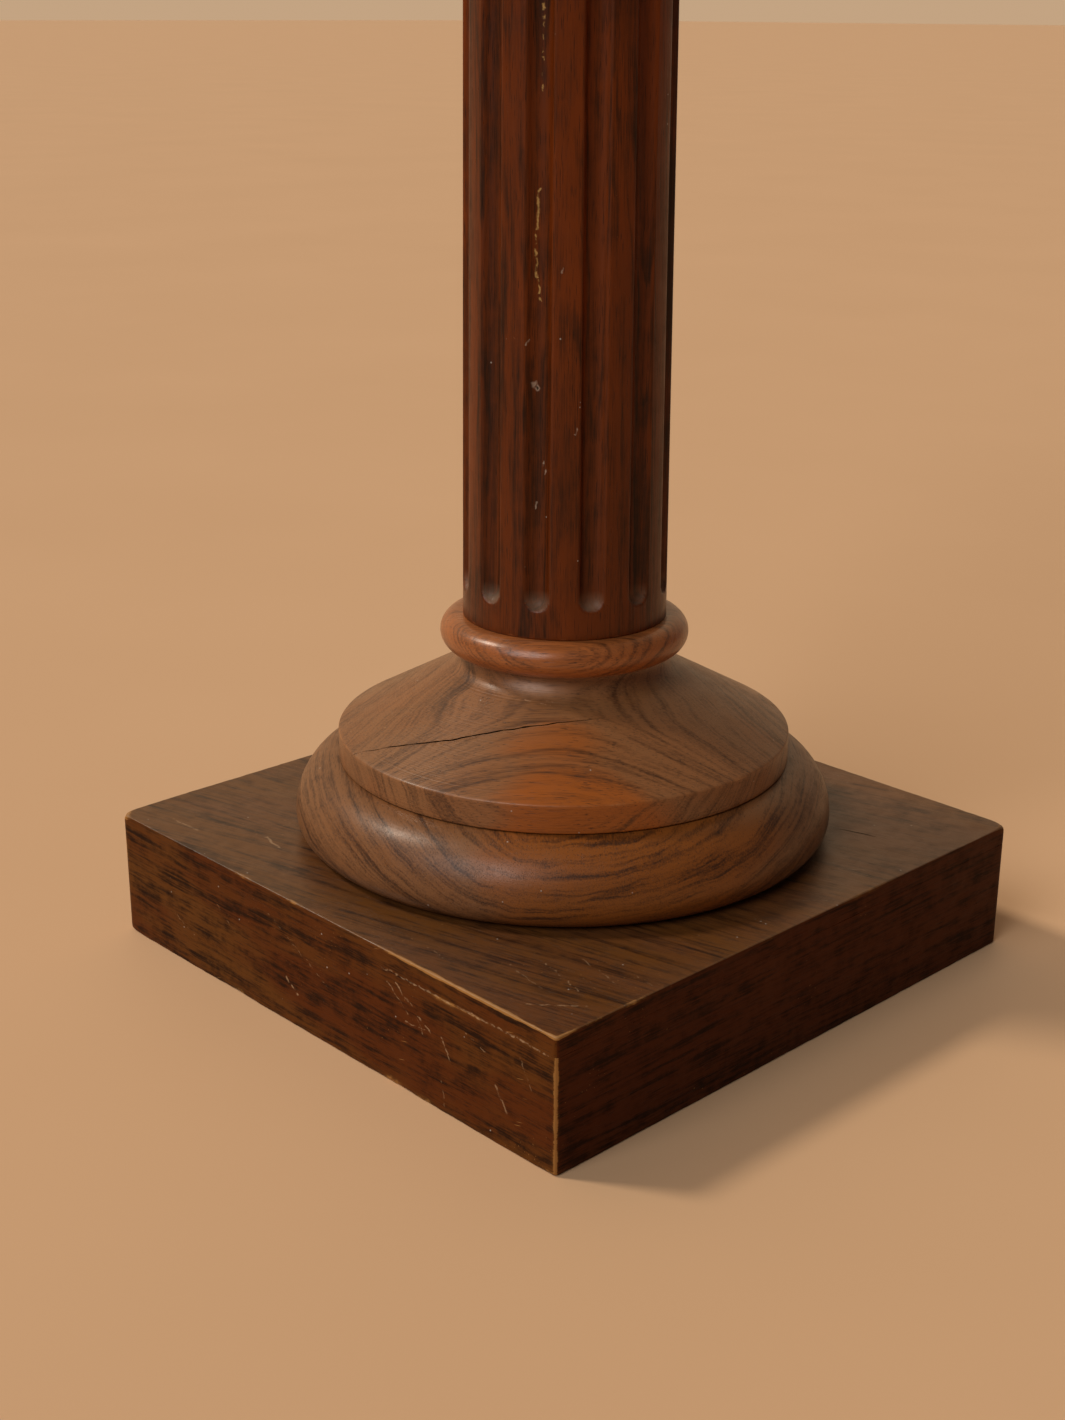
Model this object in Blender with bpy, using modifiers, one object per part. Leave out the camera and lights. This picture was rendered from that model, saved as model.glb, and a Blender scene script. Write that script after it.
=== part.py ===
"""Fluted column stand, in metres, +Z up, origin at the middle of the base on the floor.

From the floor up: a boxed square plinth, a torus ring, a flared disc, a bead, a fluted shaft, a
smaller bead, a flared capital and a square top. One threaded rod down the middle clamps the
turned pieces to the plinth; the square top is screwed to the capital from below.

Run it with: blender --background --python part.py
"""

import math

import bmesh
import bpy
from mathutils import Matrix

# Gap left between two pieces that touch, and how far a cutter runs past the faces it cuts.
GAP = 0.0003
CUT_PAST = 0.002

# Plinth: a top board on four mitred rails.
PLINTH_SIDE = 0.305
PLINTH_HEIGHT = 0.062
PLINTH_BOARD = 0.009
RAIL_THICKNESS = 0.020
CORNER_RADIUS = 0.004
EDGE_ROUND = 0.0012
CORNER_BLOCK_LEG = 0.036
CORNER_BLOCK_HEIGHT = 0.048
BEARER_WIDTH = 0.060
BEARER_THICKNESS = 0.030

# Turned base: torus ring, flared disc and bead.
TORUS_HEIGHT = 0.0375
TORUS_RADIUS = 0.1279
TORUS_FOOT_RADIUS = 0.1174
TORUS_TOP_RADIUS = 0.1040
TORUS_WIDEST_HEIGHT = 0.0105
DISC_HEIGHT = 0.0517
DISC_RADIUS = 0.1068
DISC_RIM = 0.0130
DISC_NECK_RADIUS = 0.0482
DISC_SWEEP = 0.0107
BEAD_HEIGHT = 0.0166
BEAD_RADIUS = 0.0581

# Fluted shaft.
SHAFT_LENGTH = 0.818
SHAFT_FOOT_RADIUS = 0.0475
SHAFT_HEAD_RADIUS = 0.0418
FLUTE_COUNT = 12
FLUTE_WIDTH = 0.0120
FLUTE_DEPTH = 0.0042
FLUTE_MARGIN = 0.0127
FOOT_SPIGOT_RADIUS = 0.0290
FOOT_SPIGOT_SEAT = 0.0200
HEAD_SPIGOT_RADIUS = 0.0250
HEAD_SPIGOT_SEAT = 0.0170

# Neck bead, capital and top.
NECK_BEAD_HEIGHT = 0.0140
NECK_BEAD_RADIUS = 0.0505
CAPITAL_HEIGHT = 0.0430
CAPITAL_RADIUS = 0.0930
CAPITAL_RIM = 0.0120
CAPITAL_NECK_RADIUS = 0.0425
CAPITAL_SWEEP = 0.0095
TOP_SIDE = 0.280
TOP_THICKNESS = 0.024

# Clamping rod with its nuts and washers.
ROD_RADIUS = 0.0050
ROD_BORE_RADIUS = 0.0065
WASHER_RADIUS = 0.0150
WASHER_THICKNESS = 0.0020
NUT_ACROSS_FLATS = 0.0170
NUT_HEIGHT = 0.0080
ROD_PROUD = 0.0020
NUT_POCKET_RADIUS = 0.0180
NUT_POCKET_DEPTH = 0.0130

# Wood screws and dowels.
SCREW_HEAD_RADIUS = 0.0040
SCREW_HEAD_HEIGHT = 0.0030
SCREW_SHANK_RADIUS = 0.0020
SCREW_TIP = 0.0050
SCREW_LENGTH = 0.032
BASE_SCREW_CIRCLE = 0.085
TOP_SCREW_CIRCLE = 0.072
TOP_SCREW_WOOD = 0.0130
DOWEL_RADIUS = 0.0040
DOWEL_LENGTH = 0.0250
DOWEL_CIRCLE = 0.080

# Facets round the turned pieces, the shaft and the fasteners, round half a flute, and along each
# quarter of a moulding and each board corner.
TURNED_STEPS = 48
SHAFT_STEPS = 72
SMALL_STEPS = 16
FLUTE_STEPS = 12
ARC_STEPS = 5
CORNER_STEPS = 4

# Heights of the joints between the stacked pieces.
Z_BOARD = PLINTH_HEIGHT - PLINTH_BOARD
Z_TORUS = PLINTH_HEIGHT
Z_DISC = Z_TORUS + TORUS_HEIGHT
Z_BEAD = Z_DISC + DISC_HEIGHT
Z_SHAFT = Z_BEAD + BEAD_HEIGHT
Z_NECK_BEAD = Z_SHAFT + SHAFT_LENGTH
Z_CAPITAL = Z_NECK_BEAD + NECK_BEAD_HEIGHT
Z_TOP = Z_CAPITAL + CAPITAL_HEIGHT
Z_BEARER = Z_BOARD - BEARER_THICKNESS
Z_POCKET = Z_TOP - NUT_POCKET_DEPTH

SHARP_ANGLE = math.radians(40)
QUARTER_TURNS = [math.radians(90 * i) for i in range(4)]
DIAGONALS = [math.radians(45 + 90 * i) for i in range(4)]


def clear_scene():
    for obj in list(bpy.data.objects):
        bpy.data.objects.remove(obj)


def make_collection(name):
    collection = bpy.data.collections.new(name)
    bpy.context.scene.collection.children.link(collection)
    return collection


def make_material(name, colour, roughness, metallic=0.0):
    material = bpy.data.materials.new(name)
    material.use_nodes = True
    shader = material.node_tree.nodes["Principled BSDF"]
    shader.inputs["Base Color"].default_value = (*colour, 1.0)
    shader.inputs["Roughness"].default_value = roughness
    shader.inputs["Metallic"].default_value = metallic
    return material


clear_scene()
STAND = make_collection("column_stand")
CUTTERS = make_collection("cutters")
FLUTE_CUTTERS = make_collection("flute_cutters")

PLINTH_WOOD = make_material("plinth_wood", (0.055, 0.027, 0.016), 0.50)
TORUS_WOOD = make_material("torus_wood", (0.130, 0.072, 0.042), 0.45)
DISC_WOOD = make_material("disc_wood", (0.150, 0.072, 0.038), 0.45)
BEAD_WOOD = make_material("bead_wood", (0.190, 0.070, 0.030), 0.35)
SHAFT_WOOD = make_material("shaft_wood", (0.110, 0.045, 0.024), 0.32)
RAW_WOOD = make_material("raw_wood", (0.420, 0.280, 0.160), 0.75)
STEEL = make_material("zinc_plated_steel", (0.520, 0.500, 0.460), 0.40, 1.0)


def link_piece(name, data, material, location=(0, 0, 0), turn=0.0):
    """One named piece of the stand, turned about the column's axis and then placed."""
    obj = bpy.data.objects.new(name, data)
    obj.location = location
    obj.rotation_euler.z = turn
    if not data.materials:
        data.materials.append(material)
    STAND.objects.link(obj)
    obj.parent = ORIGIN
    return obj


def link_cutter(name, data, location=(0, 0, 0), collection=CUTTERS):
    obj = bpy.data.objects.new(name, data)
    obj.location = location
    obj.hide_render = True
    obj.display_type = "WIRE"
    collection.objects.link(obj)
    return obj


def outline_mesh(name, points, closed=True):
    """A mesh of edges only, from (radius, height) points in the XZ plane."""
    mesh = bpy.data.meshes.new(name)
    edges = [(i, i + 1) for i in range(len(points) - 1)]
    if closed:
        edges.append((len(points) - 1, 0))
    mesh.from_pydata([(r, 0.0, z) for r, z in points], edges, [])
    return mesh


def spin(obj, steps):
    """Turns the object's outline about Z. The outline runs down its outer side."""
    screw = obj.modifiers.new("turned", "SCREW")
    screw.axis = "Z"
    screw.angle = math.tau
    screw.steps = steps
    screw.render_steps = steps
    screw.use_merge_vertices = True
    screw.merge_threshold = 0.00001
    screw.use_smooth_shade = True
    return obj


def turned_piece(name, points, material, height, steps=TURNED_STEPS):
    mesh = outline_mesh(name, points)
    return spin(link_piece(name, mesh, material, (0, 0, height)), steps)


def arc(centre, radii, start, end, steps=ARC_STEPS):
    """Points on an elliptical arc from start to end, in degrees, both ends included."""
    found = []
    for i in range(steps + 1):
        angle = math.radians(start + (end - start) * i / steps)
        r = centre[0] + radii[0] * math.cos(angle)
        z = centre[1] + radii[1] * math.sin(angle)
        found.append((r, z))
    return found


def cut(piece_name, cutter):
    boolean = STAND.objects[piece_name].modifiers.new(cutter.name, "BOOLEAN")
    boolean.operation = "DIFFERENCE"
    boolean.solver = "EXACT"
    boolean.object = cutter


def round_edges(obj):
    bevel = obj.modifiers.new("rounded edges", "BEVEL")
    bevel.width = EDGE_ROUND
    bevel.segments = 2
    bevel.limit_method = "ANGLE"
    bevel.angle_limit = math.radians(50)


def cylinder_mesh(name, holes, steps=SMALL_STEPS):
    """Cylinders along Z as one mesh, each from (x, y, bottom, top, radius)."""
    shape = bmesh.new()
    for x, y, bottom, top, radius in holes:
        middle = Matrix.Translation((x, y, (bottom + top) / 2))
        bmesh.ops.create_cone(
            shape, cap_ends=True, segments=steps, radius1=radius, radius2=radius,
            depth=top - bottom, matrix=middle,
        )
    mesh = bpy.data.meshes.new(name)
    shape.to_mesh(mesh)
    shape.free()
    mesh.shade_smooth()
    mesh.set_sharp_from_angle(angle=SHARP_ANGLE)
    return mesh


def hole_cutter(name, places, bottom, top, radius):
    holes = [(x, y, bottom, top, radius) for x, y in places]
    return link_cutter(name, cylinder_mesh(name, holes))


def on_circle(radius, angles):
    return [(radius * math.cos(a), radius * math.sin(a)) for a in angles]


def box_mesh(name, size, corner_radius=0.0):
    """A box about the origin, whose four upright corners may be rounded."""
    shape = bmesh.new()
    bmesh.ops.create_cube(shape, size=1.0)
    bmesh.ops.scale(shape, vec=size, verts=shape.verts)
    if corner_radius:
        upright = [e for e in shape.edges if abs(e.verts[0].co.z - e.verts[1].co.z) > size[2] / 2]
        bmesh.ops.bevel(
            shape, geom=upright, offset=corner_radius, offset_type="OFFSET",
            segments=CORNER_STEPS, profile=0.5, affect="EDGES",
        )
    mesh = bpy.data.meshes.new(name)
    shape.to_mesh(mesh)
    shape.free()
    return mesh


def box_piece(name, size, bottom, material, corner_radius=0.0):
    """A board centred on the column's axis, standing on the height given as its bottom."""
    mesh = box_mesh(name, size, corner_radius)
    round_edges(link_piece(name, mesh, material, (0, 0, bottom + size[2] / 2)))


def outline_curve(name, points, thickness):
    """A flat outline in XY, filled and given its thickness along Z about z = 0."""
    curve = bpy.data.curves.new(name, "CURVE")
    curve.dimensions = "2D"
    curve.fill_mode = "BOTH"
    curve.extrude = thickness / 2
    spline = curve.splines.new("POLY")
    spline.points.add(len(points) - 1)
    for point, (x, y) in zip(spline.points, points):
        point.co = (x, y, 0.0, 1.0)
    spline.use_cyclic_u = True
    return curve


# Plinth


def rail_outline():
    """The front rail seen from above: a rounded outer corner at each mitre."""
    half = PLINTH_SIDE / 2
    centre = half - CORNER_RADIUS
    inner = half - RAIL_THICKNESS
    mitre_gap = GAP / 2 * math.sqrt(2)
    right = []
    for degrees in (-90, -75, -60, -45):
        angle = math.radians(degrees)
        x = centre + CORNER_RADIUS * math.cos(angle)
        y = -centre + CORNER_RADIUS * math.sin(angle)
        right.append((x, y))
    right[-1] = (right[-1][0] - mitre_gap, right[-1][1])
    right.append((inner - mitre_gap, -inner))
    return right + [(-x, y) for x, y in reversed(right)]


def build_plinth():
    """Four mitred rails, glue blocks in their corners, the bearer and the board on top."""
    rail_height = Z_BOARD - GAP
    rail = outline_curve("plinth_rail", rail_outline(), rail_height)
    for side, turn in zip(("front", "right", "back", "left"), QUARTER_TURNS):
        link_piece(f"plinth_rail_{side}", rail, PLINTH_WOOD, (0, 0, rail_height / 2), turn)

    corner = PLINTH_SIDE / 2 - RAIL_THICKNESS - GAP
    low = corner - CORNER_BLOCK_LEG
    triangle = [(corner, corner), (low, corner), (corner, low)]
    block = outline_curve("corner_block", triangle, CORNER_BLOCK_HEIGHT)
    block_middle = Z_BOARD - GAP - CORNER_BLOCK_HEIGHT / 2
    for i, turn in enumerate(QUARTER_TURNS):
        link_piece(f"corner_block_{i + 1}", block, RAW_WOOD, (0, 0, block_middle), turn)

    bearer_length = PLINTH_SIDE - 2 * (RAIL_THICKNESS + GAP)
    bearer_size = (BEARER_WIDTH, bearer_length, BEARER_THICKNESS)
    box_piece("tie_rod_bearer", bearer_size, Z_BEARER - GAP, RAW_WOOD)
    board_size = (PLINTH_SIDE, PLINTH_SIDE, PLINTH_BOARD)
    box_piece("plinth_top_board", board_size, Z_BOARD, PLINTH_WOOD, CORNER_RADIUS)


# Turned base


def torus_outline():
    """Widest low down, with a long quarter above and a short one under it."""
    top = TORUS_HEIGHT - GAP
    upper = arc(
        (TORUS_TOP_RADIUS, TORUS_WIDEST_HEIGHT),
        (TORUS_RADIUS - TORUS_TOP_RADIUS, top - TORUS_WIDEST_HEIGHT), 90, 0, ARC_STEPS + 2,
    )
    lower = arc(
        (TORUS_FOOT_RADIUS, TORUS_WIDEST_HEIGHT),
        (TORUS_RADIUS - TORUS_FOOT_RADIUS, TORUS_WIDEST_HEIGHT), 0, -90, ARC_STEPS,
    )
    return upper + lower[1:] + [(ROD_BORE_RADIUS, 0.0), (ROD_BORE_RADIUS, top)]


def flare_outline(neck_radius, sweep, rim_radius, rim, height):
    """Hollow sweep under the neck, straight flare and upright rim, listed from the neck down.

    The flare is the line from the rim's top edge that touches the sweep's circle.
    """
    centre = (neck_radius + sweep, height)
    reach = math.hypot(rim_radius - centre[0], height - rim)
    to_rim = math.atan2(rim - height, rim_radius - centre[0])
    touch = 360 + math.degrees(to_rim - math.acos(sweep / reach))
    return arc(centre, (sweep, sweep), 180, touch) + [(rim_radius, rim), (rim_radius, 0.0)]


def disc_outline():
    """The flared disc, with a socket for the shaft's spigot in its top."""
    height = DISC_HEIGHT - GAP
    socket = FOOT_SPIGOT_RADIUS + GAP
    floor = height - FOOT_SPIGOT_SEAT - GAP
    flare = flare_outline(DISC_NECK_RADIUS, DISC_SWEEP, DISC_RADIUS, DISC_RIM, height)
    hollow = [(ROD_BORE_RADIUS, 0.0), (ROD_BORE_RADIUS, floor), (socket, floor), (socket, height)]
    return flare + hollow


def bead_outline(radius, height, bore):
    """A half-round ring on a plain bore."""
    half = (height - GAP) / 2
    rim = arc((radius - half, half), (half, half), 90, -90, 2 * ARC_STEPS)
    return rim + [(bore, 0.0), (bore, 2 * half)]


def build_base():
    turned_piece("base_torus", torus_outline(), TORUS_WOOD, Z_TORUS + GAP)
    turned_piece("base_disc", disc_outline(), DISC_WOOD, Z_DISC + GAP)
    bead = bead_outline(BEAD_RADIUS, BEAD_HEIGHT, FOOT_SPIGOT_RADIUS + GAP)
    turned_piece("base_bead", bead, BEAD_WOOD, Z_BEAD + GAP)
    pin = cylinder_mesh("dowel", [(0, 0, -DOWEL_LENGTH / 2, DOWEL_LENGTH / 2, DOWEL_RADIUS)])
    for i, (x, y) in enumerate(on_circle(DOWEL_CIRCLE, QUARTER_TURNS)):
        link_piece(f"disc_dowel_{i + 1}", pin, RAW_WOOD, (x, y, Z_DISC))


# Fluted shaft


def shaft_outline():
    """Tapered drum with a spigot at each end and the rod's bore, from z = 0 at its foot."""
    foot = GAP
    head = SHAFT_LENGTH
    head_spigot = head + NECK_BEAD_HEIGHT + HEAD_SPIGOT_SEAT
    foot_spigot = -BEAD_HEIGHT - FOOT_SPIGOT_SEAT
    return [
        (HEAD_SPIGOT_RADIUS, head_spigot),
        (HEAD_SPIGOT_RADIUS, head),
        (SHAFT_HEAD_RADIUS, head),
        (SHAFT_FOOT_RADIUS, foot),
        (FOOT_SPIGOT_RADIUS, foot),
        (FOOT_SPIGOT_RADIUS, foot_spigot),
        (ROD_BORE_RADIUS, foot_spigot),
        (ROD_BORE_RADIUS, head_spigot),
    ]


def flute_cutter_outline(radius, length):
    """A round-ended rod from z = 0 to z = length between the centres of its ends."""
    top = arc((0.0, length), (radius, radius), 90, 0, ARC_STEPS)
    bottom = arc((0.0, 0.0), (radius, radius), 0, -90, ARC_STEPS)
    top[0] = (0.0, length + radius)
    bottom[-1] = (0.0, -radius)
    return top + bottom


def build_shaft():
    shaft = turned_piece("fluted_shaft", shaft_outline(), SHAFT_WOOD, Z_SHAFT, SHAFT_STEPS)
    cutter_radius = (FLUTE_WIDTH**2 / 4 + FLUTE_DEPTH**2) / (2 * FLUTE_DEPTH)
    stand_off = cutter_radius - FLUTE_DEPTH
    first = FLUTE_MARGIN + FLUTE_WIDTH / 2
    length = SHAFT_LENGTH - 2 * first
    taper = (SHAFT_FOOT_RADIUS - SHAFT_HEAD_RADIUS) / SHAFT_LENGTH
    start_radius = SHAFT_FOOT_RADIUS - taper * first + stand_off
    outline = outline_mesh("flute_cutter", flute_cutter_outline(cutter_radius, length), False)
    for i in range(FLUTE_COUNT):
        angle = math.tau * i / FLUTE_COUNT
        place = (start_radius * math.cos(angle), start_radius * math.sin(angle), Z_SHAFT + first)
        cutter = link_cutter(f"flute_cutter_{i + 1}", outline, place, FLUTE_CUTTERS)
        cutter.rotation_euler = (0.0, -math.atan(taper), angle)
        spin(cutter, FLUTE_STEPS)
    boolean = shaft.modifiers.new("flutes", "BOOLEAN")
    boolean.operation = "DIFFERENCE"
    boolean.solver = "EXACT"
    boolean.operand_type = "COLLECTION"
    boolean.collection = FLUTE_CUTTERS


# Neck bead, capital and top


def capital_outline():
    """The base's flare upside down, with a socket below and a pocket for the nut above."""
    height = CAPITAL_HEIGHT - GAP
    socket = HEAD_SPIGOT_RADIUS + GAP
    ceiling = HEAD_SPIGOT_SEAT + GAP
    pocket = height - NUT_POCKET_DEPTH
    flare = flare_outline(
        CAPITAL_NECK_RADIUS, CAPITAL_SWEEP, CAPITAL_RADIUS, CAPITAL_RIM, height
    )
    outer = [(r, height - z) for r, z in reversed(flare)]
    inner = [
        (socket, 0.0), (socket, ceiling), (ROD_BORE_RADIUS, ceiling), (ROD_BORE_RADIUS, pocket),
        (NUT_POCKET_RADIUS, pocket), (NUT_POCKET_RADIUS, height),
    ]
    return outer + inner


def build_head():
    neck = bead_outline(NECK_BEAD_RADIUS, NECK_BEAD_HEIGHT, HEAD_SPIGOT_RADIUS + GAP)
    turned_piece("neck_bead", neck, BEAD_WOOD, Z_NECK_BEAD + GAP)
    turned_piece("capital", capital_outline(), DISC_WOOD, Z_CAPITAL + GAP)
    top_size = (TOP_SIDE, TOP_SIDE, TOP_THICKNESS - GAP)
    box_piece("top_board", top_size, Z_TOP + GAP, PLINTH_WOOD, CORNER_RADIUS)


# Fasteners


def screw_outline():
    """A wood screw, head down: flat head on z = 0, countersunk neck, shank and point."""
    neck = SCREW_HEAD_HEIGHT
    return [
        (0.0, SCREW_LENGTH),
        (SCREW_SHANK_RADIUS, SCREW_LENGTH - SCREW_TIP),
        (SCREW_SHANK_RADIUS, neck),
        (SCREW_HEAD_RADIUS, neck * 0.3),
        (SCREW_HEAD_RADIUS, 0.0),
        (0.0, 0.0),
    ]


def build_screws(name, circle, height):
    mesh = outline_mesh(name, screw_outline(), False)
    for i, (x, y) in enumerate(on_circle(circle, DIAGONALS)):
        spin(link_piece(f"{name}_{i + 1}", mesh, STEEL, (x, y, height)), SMALL_STEPS)


def washer_outline():
    hole = ROD_RADIUS + GAP
    return [
        (WASHER_RADIUS, WASHER_THICKNESS), (WASHER_RADIUS, 0.0),
        (hole, 0.0), (hole, WASHER_THICKNESS),
    ]


def nut_piece(name, bottom):
    corner_radius = NUT_ACROSS_FLATS / 2 / math.cos(math.pi / 6)
    mesh = cylinder_mesh(name, [(0, 0, 0, NUT_HEIGHT, corner_radius)], 6)
    link_piece(name, mesh, STEEL, (0, 0, bottom))
    bore_bottom = bottom - CUT_PAST
    bore_top = bottom + NUT_HEIGHT + CUT_PAST
    cut(name, hole_cutter(f"{name}_bore", [(0, 0)], bore_bottom, bore_top, ROD_RADIUS + GAP))


def build_clamp():
    low_washer = Z_BEARER - 2 * GAP - WASHER_THICKNESS
    low_nut = low_washer - GAP - NUT_HEIGHT
    high_washer = Z_POCKET + GAP
    high_nut = high_washer + WASHER_THICKNESS + GAP
    rod_bottom = low_nut - ROD_PROUD
    rod_top = high_nut + NUT_HEIGHT + ROD_PROUD
    rod = cylinder_mesh("tie_rod", [(0, 0, rod_bottom, rod_top, ROD_RADIUS)], SMALL_STEPS)
    link_piece("tie_rod", rod, STEEL)
    turned_piece("washer_lower", washer_outline(), STEEL, low_washer, SMALL_STEPS)
    turned_piece("washer_upper", washer_outline(), STEEL, high_washer, SMALL_STEPS)
    nut_piece("nut_lower", low_nut)
    nut_piece("nut_upper", high_nut)


def bore_holes():
    """Rod bores, screw holes and dowel holes, each a loose fit by one gap."""
    bore_bottom = Z_BEARER - CUT_PAST
    bore_top = Z_TORUS + CUT_PAST
    rod_bore = hole_cutter("rod_bores", [(0, 0)], bore_bottom, bore_top, ROD_BORE_RADIUS)
    cut("tie_rod_bearer", rod_bore)
    cut("plinth_top_board", rod_bore)

    places = on_circle(BASE_SCREW_CIRCLE, DIAGONALS)
    screw_top = Z_BOARD + SCREW_LENGTH + 2 * GAP
    sink_top = Z_BOARD + SCREW_HEAD_HEIGHT + 2 * GAP
    shank = SCREW_SHANK_RADIUS + GAP
    head = SCREW_HEAD_RADIUS + GAP
    pilots = hole_cutter("base_screw_holes", places, Z_BOARD - CUT_PAST, screw_top, shank)
    sinks = hole_cutter("base_screw_sinks", places, Z_BOARD - CUT_PAST, sink_top, head)
    cut("plinth_top_board", sinks)
    cut("plinth_top_board", pilots)
    cut("base_torus", pilots)

    places = on_circle(DOWEL_CIRCLE, QUARTER_TURNS)
    half = DOWEL_LENGTH / 2 + GAP
    sockets = hole_cutter("dowel_holes", places, Z_DISC - half, Z_DISC + half, DOWEL_RADIUS + GAP)
    cut("base_torus", sockets)
    cut("base_disc", sockets)

    places = on_circle(TOP_SCREW_CIRCLE, DIAGONALS)
    seat = Z_TOP - TOP_SCREW_WOOD
    screw_top = seat - SCREW_HEAD_HEIGHT + SCREW_LENGTH + GAP
    counterbores = hole_cutter("top_screw_counterbores", places, Z_CAPITAL, seat, head)
    pilots = hole_cutter("top_screw_holes", places, seat - CUT_PAST, screw_top, shank)
    cut("capital", counterbores)
    cut("capital", pilots)
    cut("top_board", pilots)


ORIGIN = bpy.data.objects.new("stand_origin", None)
STAND.objects.link(ORIGIN)
build_plinth()
build_base()
build_shaft()
build_head()
build_screws("base_screw", BASE_SCREW_CIRCLE, Z_BOARD + GAP / 2)
build_screws("top_screw", TOP_SCREW_CIRCLE, Z_TOP - TOP_SCREW_WOOD - SCREW_HEAD_HEIGHT)
build_clamp()
bore_holes()
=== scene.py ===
"""The looks of a fluted column stand in old dark-stained hardwood.

Every visible piece is made again around the fixed frame, with softened and knocked arrises, and is
dressed in a procedural wood that is cut from a trunk lying in a stated direction. All sizes are in
metres, and come from the frame's boxes or from the fields of each sub-assembly's class.
"""

import logging
import math
from dataclasses import dataclass, field
from enum import Enum

import bmesh
import bpy
import numpy as np
from mathutils import Matrix, Vector, noise


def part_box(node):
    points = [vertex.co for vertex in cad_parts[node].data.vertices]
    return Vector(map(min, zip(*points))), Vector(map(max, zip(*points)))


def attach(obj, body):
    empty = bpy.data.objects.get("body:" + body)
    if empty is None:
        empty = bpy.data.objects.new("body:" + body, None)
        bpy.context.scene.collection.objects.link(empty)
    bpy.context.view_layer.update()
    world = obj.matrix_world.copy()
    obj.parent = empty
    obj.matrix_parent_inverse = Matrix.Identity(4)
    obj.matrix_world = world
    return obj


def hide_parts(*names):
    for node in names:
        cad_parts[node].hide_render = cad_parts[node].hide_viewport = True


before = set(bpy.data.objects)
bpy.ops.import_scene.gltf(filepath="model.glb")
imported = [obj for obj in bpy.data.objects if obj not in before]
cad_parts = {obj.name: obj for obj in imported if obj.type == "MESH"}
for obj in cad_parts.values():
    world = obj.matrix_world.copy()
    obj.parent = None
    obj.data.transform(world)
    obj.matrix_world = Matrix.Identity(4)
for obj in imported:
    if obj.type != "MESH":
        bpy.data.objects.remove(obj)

LOG = logging.getLogger("column_stand")
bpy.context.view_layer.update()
BODY = "root"
MM = 0.001
EDGE_STEP = 2.2 * MM

Colour = tuple[float, float, float]
Point = tuple[float, float, float]


class Grain(Enum):
    """The direction in which the trunk lay that a piece was cut from."""

    UPRIGHT = (0.0, 0.0, 1.0)
    LEFT_TO_RIGHT = (1.0, 0.0, 0.0)
    FRONT_TO_BACK = (0.0, 1.0, 0.0)
    ON_THE_DIAGONAL = (0.74, 0.67, 0.03)
    NEARLY_LEFT_TO_RIGHT = (0.97, 0.24, 0.02)
    CORNER_TO_CORNER = (0.72, -0.69, 0.06)


class Wear(Enum):
    """Vertex attributes that the finishes read."""

    RUBBED = "rubbed"
    # Darkening of hollows, flute bottoms and the feet of turned pieces: grime and painted shade.
    GRIME_AND_SHADE = "grime"
    ALONG = "along"
    # Paling of the flutes' lower ends: settled dust and a painted highlight.
    DUST_AND_HIGHLIGHT = "dusty"


# Node trees


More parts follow.
